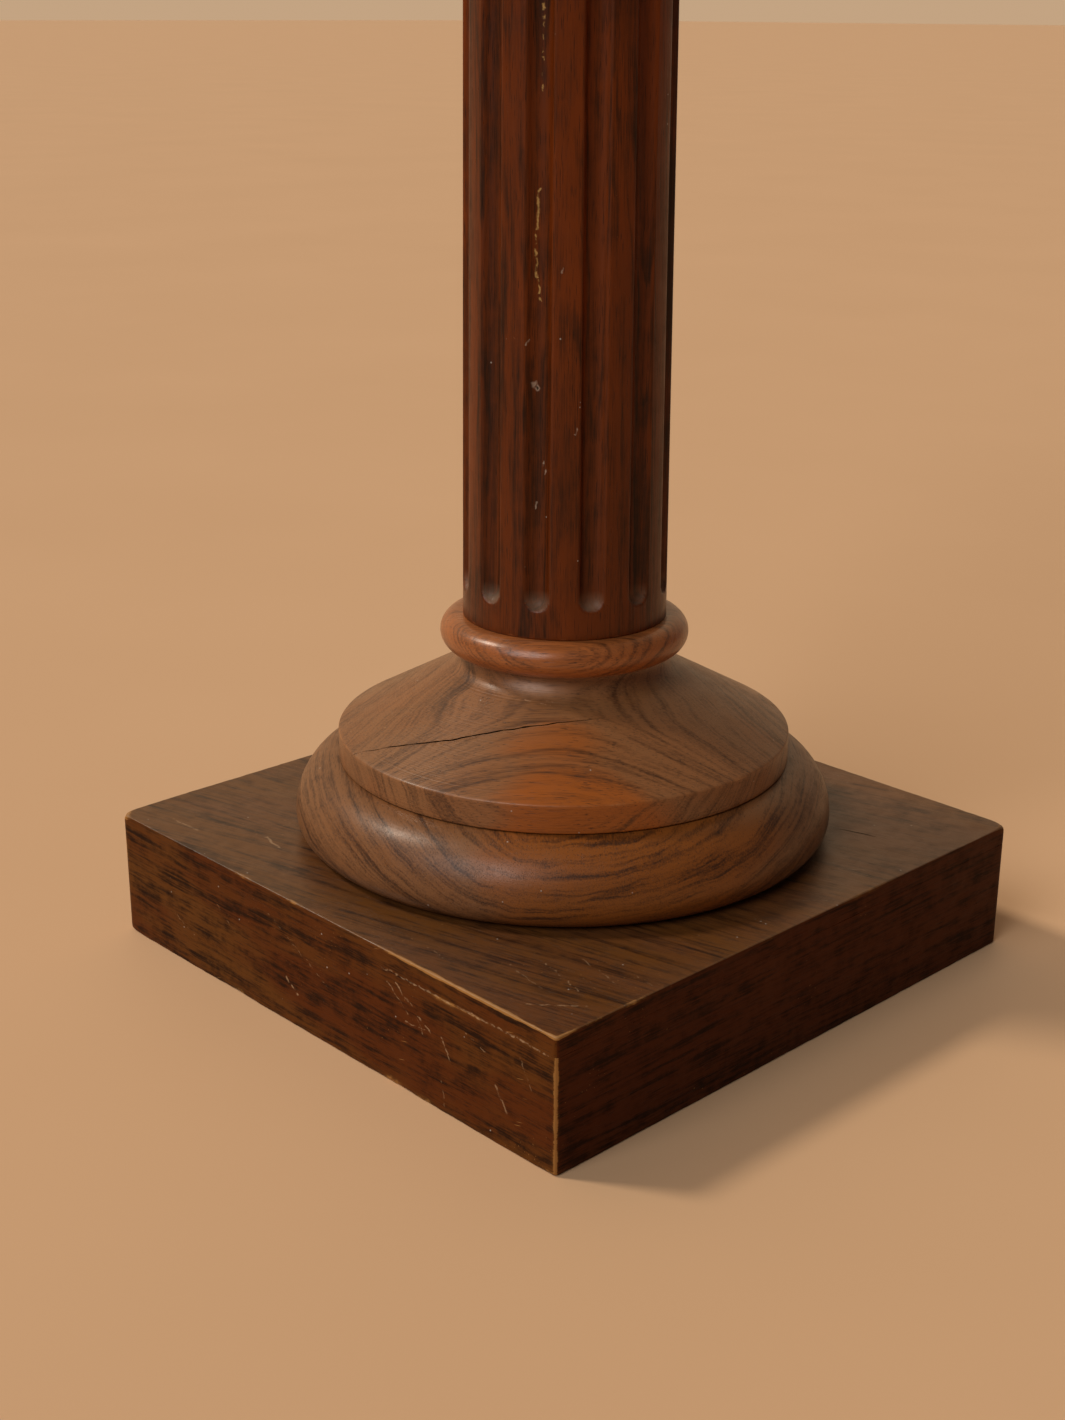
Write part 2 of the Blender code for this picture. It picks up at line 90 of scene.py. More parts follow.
class Sketch:
    """Short ways to add and join the nodes of one tree."""

    def __init__(self, tree: bpy.types.NodeTree) -> None:
        """Starts on an empty or a new tree."""
        self.tree = tree

    def feed(self, socket: bpy.types.NodeSocket, value: object) -> None:
        """Links a socket to another socket, or sets it to a value.

        Args:
            socket: The socket to fill.
            value: Another socket, or a plain value.
        """
        if isinstance(value, bpy.types.NodeSocket):
            self.tree.links.new(value, socket)
        else:
            socket.default_value = value

    def add(self, kind: str, options: dict | None = None, **sockets: object) -> bpy.types.Node:
        """Adds a node.

        Args:
            kind: The node's type.
            options: The node's own settings.
            **sockets: Input names, with _ for a space, and what feeds them.

        Returns:
            The new node.
        """
        node = self.tree.nodes.new(kind)
        for key, value in (options or {}).items():
            setattr(node, key, value)
        for key, value in sockets.items():
            self.feed(node.inputs[key.replace("_", " ")], value)
        return node

    def math(self, operation: str, *values: object) -> bpy.types.NodeSocket:
        """Adds a Math node and returns its result.

        Args:
            operation: What the node works out.
            *values: Sockets or numbers, in the order of its inputs.

        Returns:
            Its result.
        """
        node = self.tree.nodes.new("ShaderNodeMath")
        node.operation = operation
        for socket, value in zip(node.inputs, values):
            self.feed(socket, value)
        return node.outputs[0]

    def vector(self, operation: str, *values: object) -> bpy.types.NodeSocket:
        """Adds a Vector Math node and returns its result, a number for LENGTH.

        Args:
            operation: What the node works out.
            *values: Sockets or vectors, in the order of its inputs.

        Returns:
            Its result, a number for LENGTH and DOT_PRODUCT.
        """
        node = self.tree.nodes.new("ShaderNodeVectorMath")
        node.operation = operation
        for socket, value in zip(node.inputs, values):
            self.feed(socket, value)
        return node.outputs["Value" if operation in ("LENGTH", "DOT_PRODUCT") else "Vector"]

    def step(self, value: object, low: float, high: float) -> bpy.types.NodeSocket:
        """A smooth step from 0 at low to 1 at high.

        Args:
            value: What is measured.
            low: Where the step begins.
            high: Where it ends. Below low, the step falls.

        Returns:
            The step.
        """
        node = self.add("ShaderNodeMapRange", {"interpolation_type": "SMOOTHSTEP"}, Value=value)
        self.feed(node.inputs["From Min"], low)
        self.feed(node.inputs["From Max"], high)
        return node.outputs["Result"]

    def noise(self, vector: object, scale: float, detail: float = 2.0, rough: float = 0.5,
              ) -> bpy.types.NodeSocket:
        """A noise between 0 and 1 on a vector.

        Args:
            vector: Where to look.
            scale: Waves in a metre.
            detail: Finer layers on top.
            rough: How strong the finer layers are.

        Returns:
            The noise.
        """
        node = self.add("ShaderNodeTexNoise", Vector=vector, Scale=scale, Detail=detail)
        node.inputs["Roughness"].default_value = rough
        return node.outputs[0]

    def mix(self, factor: object, a: object, b: object) -> bpy.types.NodeSocket:
        """Mixes two colours, a where the factor is 0 and b where it is 1.

        Args:
            factor: How much of b.
            a: The first colour.
            b: The second colour.

        Returns:
            The mixed colour.
        """
        node = self.tree.nodes.new("ShaderNodeMix")
        node.data_type = "RGBA"
        self.feed(node.inputs["Factor"], factor)
        for socket, value in ((node.inputs[6], a), (node.inputs[7], b)):
            self.feed(socket, (*value, 1.0) if isinstance(value, tuple) else value)
        return node.outputs[2]

    def flecks(self, vector: object, size: Point, chosen: float, core: float,
               ) -> bpy.types.NodeSocket:
        """Separate spots or dashes at random places.

        Args:
            vector: Where to look.
            size: Length of one cell along each axis. A long cell makes a dash.
            chosen: The share of cells that hold a fleck.
            core: The fleck's size as a share of its cell.

        Returns:
            A mask, 1 inside a fleck.
        """
        cells = self.vector("DIVIDE", vector, size)
        voronoi = self.add("ShaderNodeTexVoronoi", Vector=cells, Scale=1.0)
        spot = self.math("SUBTRACT", 1.0, self.step(voronoi.outputs["Distance"], core * 0.5, core))
        lot = self.add("ShaderNodeSeparateColor", Color=voronoi.outputs["Color"])
        return self.math("MULTIPLY", spot, self.math("LESS_THAN", lot.outputs[0], chosen))


# Finishes


@dataclass(frozen=True)
class Mark:
    """A scratch, scuff or filled crack between two places on a piece."""

    start: Point
    end: Point
    width: float = 0.5 * MM
    strength: float = 0.8
    colour: Colour = (0.42, 0.27, 0.15)
    broken: float = 0.5

    def mask(self, s: Sketch, coords: bpy.types.NodeSocket) -> bpy.types.NodeSocket:
        """Finds the points that lie on the mark.

        Args:
            s: The material's tree.
            coords: Object coordinates, already bent a little.

        Returns:
            The mark's strength at each point.
        """
        run = Vector(self.end) - Vector(self.start)
        away = s.vector("SUBTRACT", coords, self.start)
        share = s.vector("DOT_PRODUCT", away, tuple(run / run.length_squared))
        share = s.math("MINIMUM", s.math("MAXIMUM", share, 0.0), 1.0)
        line = s.add("ShaderNodeCombineXYZ", X=share, Y=share, Z=share).outputs[0]
        foot = s.vector("MULTIPLY", line, tuple(run))
        far = s.vector("LENGTH", s.vector("SUBTRACT", away, foot))
        gaps = s.step(s.noise(coords, 420.0, 2.0), self.broken - 0.12, self.broken + 0.06)
        on_line = s.math("SUBTRACT", 1.0, s.step(far, self.width * 0.25, self.width))
        return s.math("MULTIPLY", s.math("MULTIPLY", on_line, gaps), self.strength)


@dataclass(frozen=True)
class WoodFinish:
    """Stained and waxed hardwood, with the marks of age, painted shade in its hollows and a painted
    highlight in the ends of flutes.
    """

    name: str
    grain: Grain
    pith: Point
    early: Colour
    late: Colour
    glow: Colour
    bare: Colour = (0.46, 0.22, 0.085)
    # The dark colour of pores, and of painted shade in hollows.
    soot_and_shade: Colour = (0.006, 0.0035, 0.0025)
    # The pale colour of settled dust and of a painted highlight in the flute ends.
    dust_and_highlight_colour: Colour = (0.26, 0.175, 0.115)
    ring_width: float = 3.2 * MM
    ring_strength: float = 0.45
    streak_strength: float = 0.55
    strand_strength: float = 1.1
    glow_share: float = 0.5
    pore_depth: float = 0.6
    roughness: float = 0.42
    gloss: float = 0.35
    coat: float = 0.12
    rub: float = 0.5
    # How dark hollows and feet get, for grime and as painted shade.
    grime: float = 1.0
    scuffs: float = 0.3
    dust: float = 0.3
    mottle: float = 0.3
    turning: float = 0.0
    glow_at: Point = (0.0, 0.0, 0.0)
    glow_reach: float = 0.0
    marks: tuple[Mark, ...] = ()

    def trunk(self, s: Sketch, coords: bpy.types.NodeSocket) -> bpy.types.NodeSocket:
        """Turns the piece's coordinates so that the trunk lies along Z through the pith.

        Args:
            s: The material's tree.
            coords: Object coordinates.

        Returns:
            Trunk coordinates.
        """
        turn = Vector(self.grain.value).rotation_difference(Vector((0.0, 0.0, 1.0)))
        place = -(turn.to_matrix() @ Vector(self.pith))
        node = s.add("ShaderNodeMapping", Vector=coords)
        node.inputs["Location"].default_value = place
        node.inputs["Rotation"].default_value = turn.to_euler()
        return node.outputs[0]

    def rings(self, s: Sketch, trunk: bpy.types.NodeSocket,
              ) -> tuple[bpy.types.NodeSocket, bpy.types.NodeSocket]:
        """Growth rings about the pith, each with its own strength.

        Args:
            s: The material's tree.
            trunk: Trunk coordinates.

        Returns:
            0 in the pale early wood, up to 1 in the dark late wood, and coordinates that change
            fast across the growth layers and slowly along them.
        """
        long_waves = s.vector("MULTIPLY", trunk, (1.0, 1.0, 0.16))
        bend = s.add("ShaderNodeTexNoise", Vector=long_waves, Scale=13.0, Detail=3.0)
        away = s.vector("SUBTRACT", bend.outputs["Color"], (0.5, 0.5, 0.5))
        bent = s.vector("ADD", trunk, s.vector("MULTIPLY", away, (0.026, 0.026, 0.0)))
        ripple = s.add("ShaderNodeTexNoise", Vector=long_waves, Scale=170.0, Detail=2.0)
        near = s.vector("SUBTRACT", ripple.outputs["Color"], (0.5, 0.5, 0.5))
        bent = s.vector("ADD", bent, s.vector("MULTIPLY", near, (0.0016, 0.0016, 0.0)))
        radius = s.vector("LENGTH", s.vector("MULTIPLY", bent, (1.0, 1.0, 0.0)))
        phase = s.math("DIVIDE", radius, self.ring_width)
        years = s.add("ShaderNodeTexNoise", {"noise_dimensions": "1D"}, W=phase, Scale=0.21)
        phase = s.math("ADD", phase, s.math("MULTIPLY", years.outputs[0], 5.0))
        inside = s.math("FRACT", phase)
        late = s.math("MULTIPLY", s.step(inside, 0.25, 0.9), s.step(inside, 1.0, 0.94))
        year = s.add("ShaderNodeTexWhiteNoise", {"noise_dimensions": "1D"},
                     W=s.math("FLOOR", phase))
        strength = s.math("MULTIPLY_ADD", year.outputs["Value"], 0.75, 0.25)
        across = s.add("ShaderNodeCombineXYZ", X=radius).outputs[0]
        layers = s.vector("ADD", across, s.vector("MULTIPLY", trunk, (0.07, 0.07, 0.03)))
        return s.math("MULTIPLY", late, strength), layers

    def stained(self, s: Sketch, coords: bpy.types.NodeSocket, tone: bpy.types.NodeSocket,
                broad: bpy.types.NodeSocket) -> bpy.types.NodeSocket:
        """Mixes the sound stained wood.

        Args:
            s: The material's tree.
            coords: Object coordinates.
            tone: How dark the grain is.
            broad: A slow noise along the grain.

        Returns:
            The colour before wear and dirt.
        """
        colour = s.mix(s.step(tone, -0.05, 1.0), self.early, self.late)
        glowing = s.math("MULTIPLY", s.step(broad, 0.42, 0.66), self.glow_share)
        if self.glow_reach:
            away = s.vector("LENGTH", s.vector("SUBTRACT", coords, self.glow_at))
            ragged = s.math("MULTIPLY_ADD", s.math("SUBTRACT", broad, 0.5), 0.09, away)
            patch = s.step(ragged, self.glow_reach, self.glow_reach * 0.45)
            glowing = s.math("MAXIMUM", s.math("MULTIPLY", glowing, 0.4), patch)
        return s.mix(glowing, colour, s.mix(s.step(tone, 0.0, 1.1), self.glow, self.late))

    def build(self) -> bpy.types.Material:
        """Makes the material: colour, roughness and relief.

        Returns:
            The material.
        """
        material = bpy.data.materials.new(self.name)
        material.use_nodes = True
        s = Sketch(material.node_tree)
        shader = s.tree.nodes["Principled BSDF"]
        coords = s.add("ShaderNodeTexCoord").outputs["Object"]
        trunk = self.trunk(s, coords)
        rubbed, grime, along, dusty = (
            s.add("ShaderNodeAttribute", {"attribute_name": wear.value}).outputs["Fac"]
            for wear in Wear
        )

        late, layers = self.rings(s, trunk)
        fibres = s.vector("MULTIPLY", trunk, (1.0, 1.0, 0.022))
        fine = s.noise(fibres, 1500.0, 2.0, 0.6)
        streak = s.noise(layers, 230.0, 3.0, 0.6)
        strand = s.noise(layers, 640.0, 2.0, 0.6)
        broad = s.noise(s.vector("MULTIPLY", trunk, (1.0, 1.0, 0.3)), 26.0, 3.0, 0.55)
        cloud = s.noise(coords, 95.0, 4.0, 0.65)
        hatch = s.noise(s.vector("MULTIPLY", trunk, (1.0, 1.0, 0.12)), 560.0, 4.0, 0.75)
        pores = s.step(s.noise(s.vector("MULTIPLY", trunk, (1.0, 1.0, 0.045)), 2300.0, 1.0),
                       0.62, 0.72)

        tone = s.math("MULTIPLY", late, self.ring_strength)
        tone = s.math("ADD", tone, s.math("MULTIPLY", s.step(streak, 0.3, 0.75),
                                          self.streak_strength))
        tone = s.math("ADD", tone, s.math("MULTIPLY", s.math("SUBTRACT", fine, 0.5), 1.1))
        tone = s.math("ADD", tone, s.math("MULTIPLY", s.math("SUBTRACT", strand, 0.5),
                                          self.strand_strength))
        blotch = s.math("ADD", s.math("SUBTRACT", cloud, 0.5), s.math("SUBTRACT", hatch, 0.5))
        tone = s.math("ADD", tone, s.math("MULTIPLY", blotch, self.mottle))
        colour = self.stained(s, coords, tone, broad)
        colour = s.mix(s.math("MULTIPLY", pores, self.pore_depth), colour, self.soot_and_shade)

        # Hollows, flute bottoms and feet are darkened: grime and painted shade.
        grime_and_shade_amount = s.math("MULTIPLY_ADD", cloud, 0.9 * self.grime, 0.35 * self.grime)
        grime_and_shade_amount = s.math("MULTIPLY", grime, grime_and_shade_amount)
        colour = s.mix(s.step(grime_and_shade_amount, 0.05, 0.85), colour, self.soot_and_shade)
        chafe = s.math("ADD", rubbed, s.math("MULTIPLY", s.math("SUBTRACT", cloud, 0.5), 1.3))
        chafe = s.math("ADD", chafe, s.math("MULTIPLY", s.math("SUBTRACT", fine, 0.5), 0.5))
        worn = s.step(chafe, 1.05 - self.rub, 1.35 - self.rub)
        colour = s.mix(s.math("MULTIPLY", worn, 0.8), colour, self.bare)
        thin = s.step(chafe, 0.45 - self.rub * 0.5, 1.2 - self.rub * 0.5)
        colour = s.mix(s.math("MULTIPLY", thin, 0.3), colour, s.mix(0.5, self.glow, self.bare))
        # The flutes' lower ends are paled: settled dust and a painted highlight.
        dust_and_highlight_amount = s.math("MULTIPLY", dusty, s.math("MULTIPLY_ADD", hatch, 0.8, 0.2))
        colour = s.mix(dust_and_highlight_amount, colour, self.dust_and_highlight_colour)

        scratch = self.scratches(s, coords)
        colour = s.mix(s.math("MULTIPLY", scratch, 0.55), colour, self.bare)
        specks = s.flecks(coords, (3.1 * MM, 2.7 * MM, 2.9 * MM), 0.02 * self.dust, 0.16)
        colour = s.mix(s.math("MULTIPLY", specks, 0.7), colour, (0.55, 0.5, 0.44))
        shake = s.add("ShaderNodeTexNoise", Vector=coords, Scale=190.0, Detail=3.0)
        offset = s.vector("SUBTRACT", shake.outputs["Color"], (0.5, 0.5, 0.5))
        bent = s.vector("ADD", coords, s.vector("MULTIPLY", offset, (0.004, 0.004, 0.004)))
        for mark in self.marks:
            mask = mark.mask(s, bent)
            colour = s.mix(mask, colour, mark.colour)
            scratch = s.math("MAXIMUM", scratch, mask)
        s.feed(shader.inputs["Base Color"], colour)

        rough = s.math("MULTIPLY_ADD", s.math("SUBTRACT", cloud, 0.5), 0.35, self.roughness)
        rough = s.math("ADD", rough, s.math("MULTIPLY", s.math("SUBTRACT", fine, 0.5), 0.2))
        rough = s.math("ADD", rough, s.math("MULTIPLY", s.math("ADD", worn, grime_and_shade_amount), 0.2))
        rough = s.math("ADD", rough, s.math("MULTIPLY", dusty, 0.4))
        s.feed(shader.inputs["Roughness"], s.math("MINIMUM", rough, 0.95))
        shader.inputs["Coat Weight"].default_value = self.coat
        shader.inputs["Coat Roughness"].default_value = 0.28
        shader.inputs["Specular IOR Level"].default_value = self.gloss

        relief = s.math("MULTIPLY", fine, 0.35)
        relief = s.math("ADD", relief, s.math("MULTIPLY", streak, 0.3))
        relief = s.math("SUBTRACT", relief, s.math("MULTIPLY", strand, 0.5))
        relief = s.math("SUBTRACT", relief, s.math("MULTIPLY", pores, 0.5))
        relief = s.math("SUBTRACT", relief, s.math("MULTIPLY", scratch, 0.8))
        relief = s.math("ADD", relief, s.math("MULTIPLY", specks, 0.8))
        relief = s.math("ADD", relief, s.math("MULTIPLY", cloud, 0.25))
        lines = s.add("ShaderNodeTexNoise", {"noise_dimensions": "1D"}, W=along, Scale=1100.0)
        relief = s.math("ADD", relief, s.math("MULTIPLY", lines.outputs[0], self.turning))
        bump = s.add("ShaderNodeBump", Strength=0.55, Distance=0.00022, Height=relief)
        s.feed(shader.inputs["Normal"], bump.outputs[0])
        return material

    def scratches(self, s: Sketch, coords: bpy.types.NodeSocket) -> bpy.types.NodeSocket:
        """Thin straight scratches in three directions, in patches.

        Args:
            s: The material's tree.
            coords: Object coordinates.

        Returns:
            A mask, 1 inside a scratch.
        """
        total: object = 0.0
        turns = ((0.35, 0.2, 0.15), (-0.5, 0.3, 1.2), (0.2, -0.7, -0.6))
        for place, turn in enumerate(turns):
            node = s.add("ShaderNodeMapping", Vector=coords)
            node.inputs["Rotation"].default_value = turn
            node.inputs["Location"].default_value = (0.31 * place, 0.17, 0.05)
            cell = (70 * MM, 1.6 * MM, 1.6 * MM)
            dash = s.flecks(node.outputs[0], cell, 0.05 * self.scuffs, 0.13)
            total = s.math("ADD", total, dash)
        patch = s.step(s.noise(coords, 17.0, 2.0), 0.42, 0.6)
        return s.math("MINIMUM", s.math("MULTIPLY", total, patch), 1.0)


@dataclass(frozen=True)
class RawWoodFinish:
    """Sawn wood that was never stained, gone brown with age."""

    name: str = "raw_wood"
    grain: Grain = Grain.FRONT_TO_BACK
    pale: Colour = (0.40, 0.26, 0.145)
    deep: Colour = (0.22, 0.125, 0.062)

    def build(self) -> bpy.types.Material:
        """Makes the material: growth layers, saw marks and dust.

        Returns:
            The material.
        """
        material = bpy.data.materials.new(self.name)
        material.use_nodes = True
        s = Sketch(material.node_tree)
        shader = s.tree.nodes["Principled BSDF"]
        coords = s.add("ShaderNodeTexCoord").outputs["Object"]
        stretch = tuple(0.05 if abs(part) > 0.5 else 1.0 for part in self.grain.value)
        fibres = s.vector("MULTIPLY", coords, stretch)
        streak = s.noise(fibres, 210.0, 4.0, 0.65)
        fine = s.noise(fibres, 1700.0, 2.0, 0.6)
        saw = s.noise(s.vector("MULTIPLY", coords, (600.0, 600.0, 60.0)), 1.0, 1.0)
        tone = s.math("ADD", s.math("MULTIPLY", streak, 0.8), s.math("MULTIPLY", fine, 0.35))
        s.feed(shader.inputs["Base Color"], s.mix(s.step(tone, 0.35, 0.8), self.pale, self.deep))
        s.feed(shader.inputs["Roughness"], s.math("MULTIPLY_ADD", fine, 0.25, 0.65))
        relief = s.math("ADD", s.math("MULTIPLY", fine, 0.6), s.math("MULTIPLY", saw, 0.5))
        bump = s.add("ShaderNodeBump", Strength=0.6, Distance=0.0003, Height=relief)
        s.feed(shader.inputs["Normal"], bump.outputs[0])
        return material


@dataclass(frozen=True)
class SteelFinish:
    """Zinc-plated steel that has gone dull, with rust coming through."""

    name: str = "plated_steel"
    zinc: Colour = (0.50, 0.48, 0.44)
    rust: Colour = (0.16, 0.06, 0.025)

    def build(self) -> bpy.types.Material:
        """Makes the material: spangle, rust spots and fine scratches.

        Returns:
            The material.
        """
        material = bpy.data.materials.new(self.name)
        material.use_nodes = True
        s = Sketch(material.node_tree)
        shader = s.tree.nodes["Principled BSDF"]
        coords = s.add("ShaderNodeTexCoord").outputs["Object"]
        spangle = s.noise(coords, 420.0, 3.0, 0.6)
        patch = s.noise(coords, 130.0, 4.0, 0.7)
        rusty = s.step(patch, 0.52, 0.68)
        zinc = s.mix(spangle, self.zinc, tuple(0.7 * part for part in self.zinc))
        s.feed(shader.inputs["Base Color"], s.mix(rusty, zinc, self.rust))
        s.feed(shader.inputs["Metallic"], s.math("SUBTRACT", 1.0, rusty))
        rough = s.math("MULTIPLY_ADD", spangle, 0.2, 0.3)
        s.feed(shader.inputs["Roughness"], s.math("ADD", rough, s.math("MULTIPLY", rusty, 0.4)))
        relief = s.math("ADD", spangle, s.math("MULTIPLY", rusty, 1.5))
        bump = s.add("ShaderNodeBump", Strength=0.4, Distance=0.0001, Height=relief)
        s.feed(shader.inputs["Normal"], bump.outputs[0])
        return material


# Geometry Nodes


@dataclass
class ShapeTree:
    """One Geometry Nodes tree with named inputs."""

    name: str
    inputs: dict[str, tuple[str, object]]
    sketch: Sketch = field(init=False)
    sources: dict[str, bpy.types.NodeSocket] = field(init=False)

    def __post_init__(self) -> None:
        """Makes the tree with its inputs and its output."""
        tree = bpy.data.node_groups.new(self.name, "GeometryNodeTree")
        tree.interface.new_socket("Geometry", in_out="INPUT", socket_type="NodeSocketGeometry")
        tree.interface.new_socket("Geometry", in_out="OUTPUT", socket_type="NodeSocketGeometry")
        for name, (kind, value) in self.inputs.items():
            socket = tree.interface.new_socket(name, in_out="INPUT", socket_type=kind)
            if value is not None:
                socket.default_value = value
        self.sketch = Sketch(tree)
        group_input = tree.nodes.new("NodeGroupInput")
        self.sources = {socket.name: socket for socket in group_input.outputs if socket.name}

    def close(self, geometry: bpy.types.NodeSocket) -> None:
        """Ends the tree with smooth faces, real instances and the material.

        Args:
            geometry: The finished shape.
        """
        s = self.sketch
        smooth = s.add("GeometryNodeSetShadeSmooth", Geometry=geometry).outputs[0]
        real = s.add("GeometryNodeRealizeInstances", Geometry=smooth).outputs[0]
        dressed = s.add("GeometryNodeSetMaterial", Geometry=real,
                        Material=self.sources["Material"]).outputs[0]
        output = s.tree.nodes.new("NodeGroupOutput")
        s.feed(output.inputs["Geometry"], dressed)

    def on(self, obj: bpy.types.Object, **values: object) -> None:
        """Puts the tree on an object as a modifier.

        Args:
            obj: The object whose mesh the tree starts from.
            **values: Input names, with _ for a space, and their values.
        """
        modifier = obj.modifiers.new(self.name, "NODES")
        modifier.node_group = self.sketch.tree
        identifiers = {
            item.name: item.identifier
            for item in self.sketch.tree.interface.items_tree if item.in_out == "INPUT"
        }
        for name, value in values.items():
            modifier[identifiers[name.replace("_", " ")]] = value


def turning_tree() -> ShapeTree:
    """Turns a closed outline about Z, a little out of round as old wood shrinks.

    Returns:
        The tree. Its object's mesh is the outline: points (radius, 0, height) in order.
    """
    tree = ShapeTree("turning", {
        "Around": ("NodeSocketInt", 256),
        "Shrinkage": ("NodeSocketFloat", 0.0006),
        "Shrink Angle": ("NodeSocketFloat", 0.0),
        "Unevenness": ("NodeSocketFloat", 0.0001),
        "Material": ("NodeSocketMaterial", None),
    })
    s, src = tree.sketch, tree.sources
    size = s.add("GeometryNodeAttributeDomainSize", Geometry=src["Geometry"])
    count = size.outputs["Point Count"]
    rows = s.math("ADD", count, 1.0)
    columns = s.math("ADD", src["Around"], 1.0)
    grid = s.add("GeometryNodeMeshGrid", Size_X=1.0, Size_Y=1.0, Vertices_X=rows,
                 Vertices_Y=columns)
    place = s.add("ShaderNodeSeparateXYZ",
                  Vector=s.add("GeometryNodeInputPosition").outputs[0])
    row = s.math("ROUND", s.math("MULTIPLY", s.math("ADD", place.outputs[0], 0.5), count))
    row = s.math("MODULO", row, count)
    angle = s.math("MULTIPLY", s.math("ADD", place.outputs[1], 0.5), math.tau)

    def sampled(value: bpy.types.NodeSocket, kind: str) -> bpy.types.NodeSocket:
        """The outline's value at this row.

        Args:
            value: What to read on the outline.
            kind: Its data type.

        Returns:
            The value.
        """
        node = s.add("GeometryNodeSampleIndex", {"data_type": kind, "domain": "POINT"},
                     Geometry=src["Geometry"], Index=row)
        s.feed(node.inputs["Value"], value)
        return node.outputs[0]

    outline = s.add("ShaderNodeSeparateXYZ", Vector=sampled(
        s.add("GeometryNodeInputPosition").outputs[0], "FLOAT_VECTOR"))
    kept = {}
    for wear in Wear:
        named = s.add("GeometryNodeInputNamedAttribute", {"data_type": "FLOAT"}, Name=wear.value)
        kept[wear] = sampled(named.outputs["Attribute"], "FLOAT")
    around = s.add("ShaderNodeCombineXYZ", X=s.math("COSINE", angle), Y=s.math("SINE", angle),
                   Z=s.math("MULTIPLY", outline.outputs[2], 4.0))
    wobble = s.math("SUBTRACT", s.noise(around.outputs[0], 3.0, 3.0), 0.5)
    oval = s.math("COSINE", s.math("MULTIPLY", 2.0, s.math(
        "SUBTRACT", angle, src["Shrink Angle"])))
    stretch = s.math("MULTIPLY_ADD", oval, src["Shrinkage"], 1.0)
    radius = s.math("MULTIPLY", outline.outputs[0], stretch)
    radius = s.math("ADD", radius, s.math("MULTIPLY", wobble, src["Unevenness"]))
    spot = s.add("ShaderNodeCombineXYZ", X=s.math("MULTIPLY", radius, s.math("COSINE", angle)),
                 Y=s.math("MULTIPLY", radius, s.math("SINE", angle)), Z=outline.outputs[2])
    geometry = grid.outputs["Mesh"]
    for wear, value in kept.items():
        geometry = s.add("GeometryNodeStoreNamedAttribute",
                         {"data_type": "FLOAT", "domain": "POINT"},
                         Geometry=geometry, Name=wear.value, Value=value).outputs[0]
    geometry = s.add("GeometryNodeSetPosition", Geometry=geometry,
                     Position=spot.outputs[0]).outputs[0]
    geometry = s.add("GeometryNodeMergeByDistance", Geometry=geometry,
                     Distance=0.00001).outputs[0]
    tree.close(geometry)
    return tree


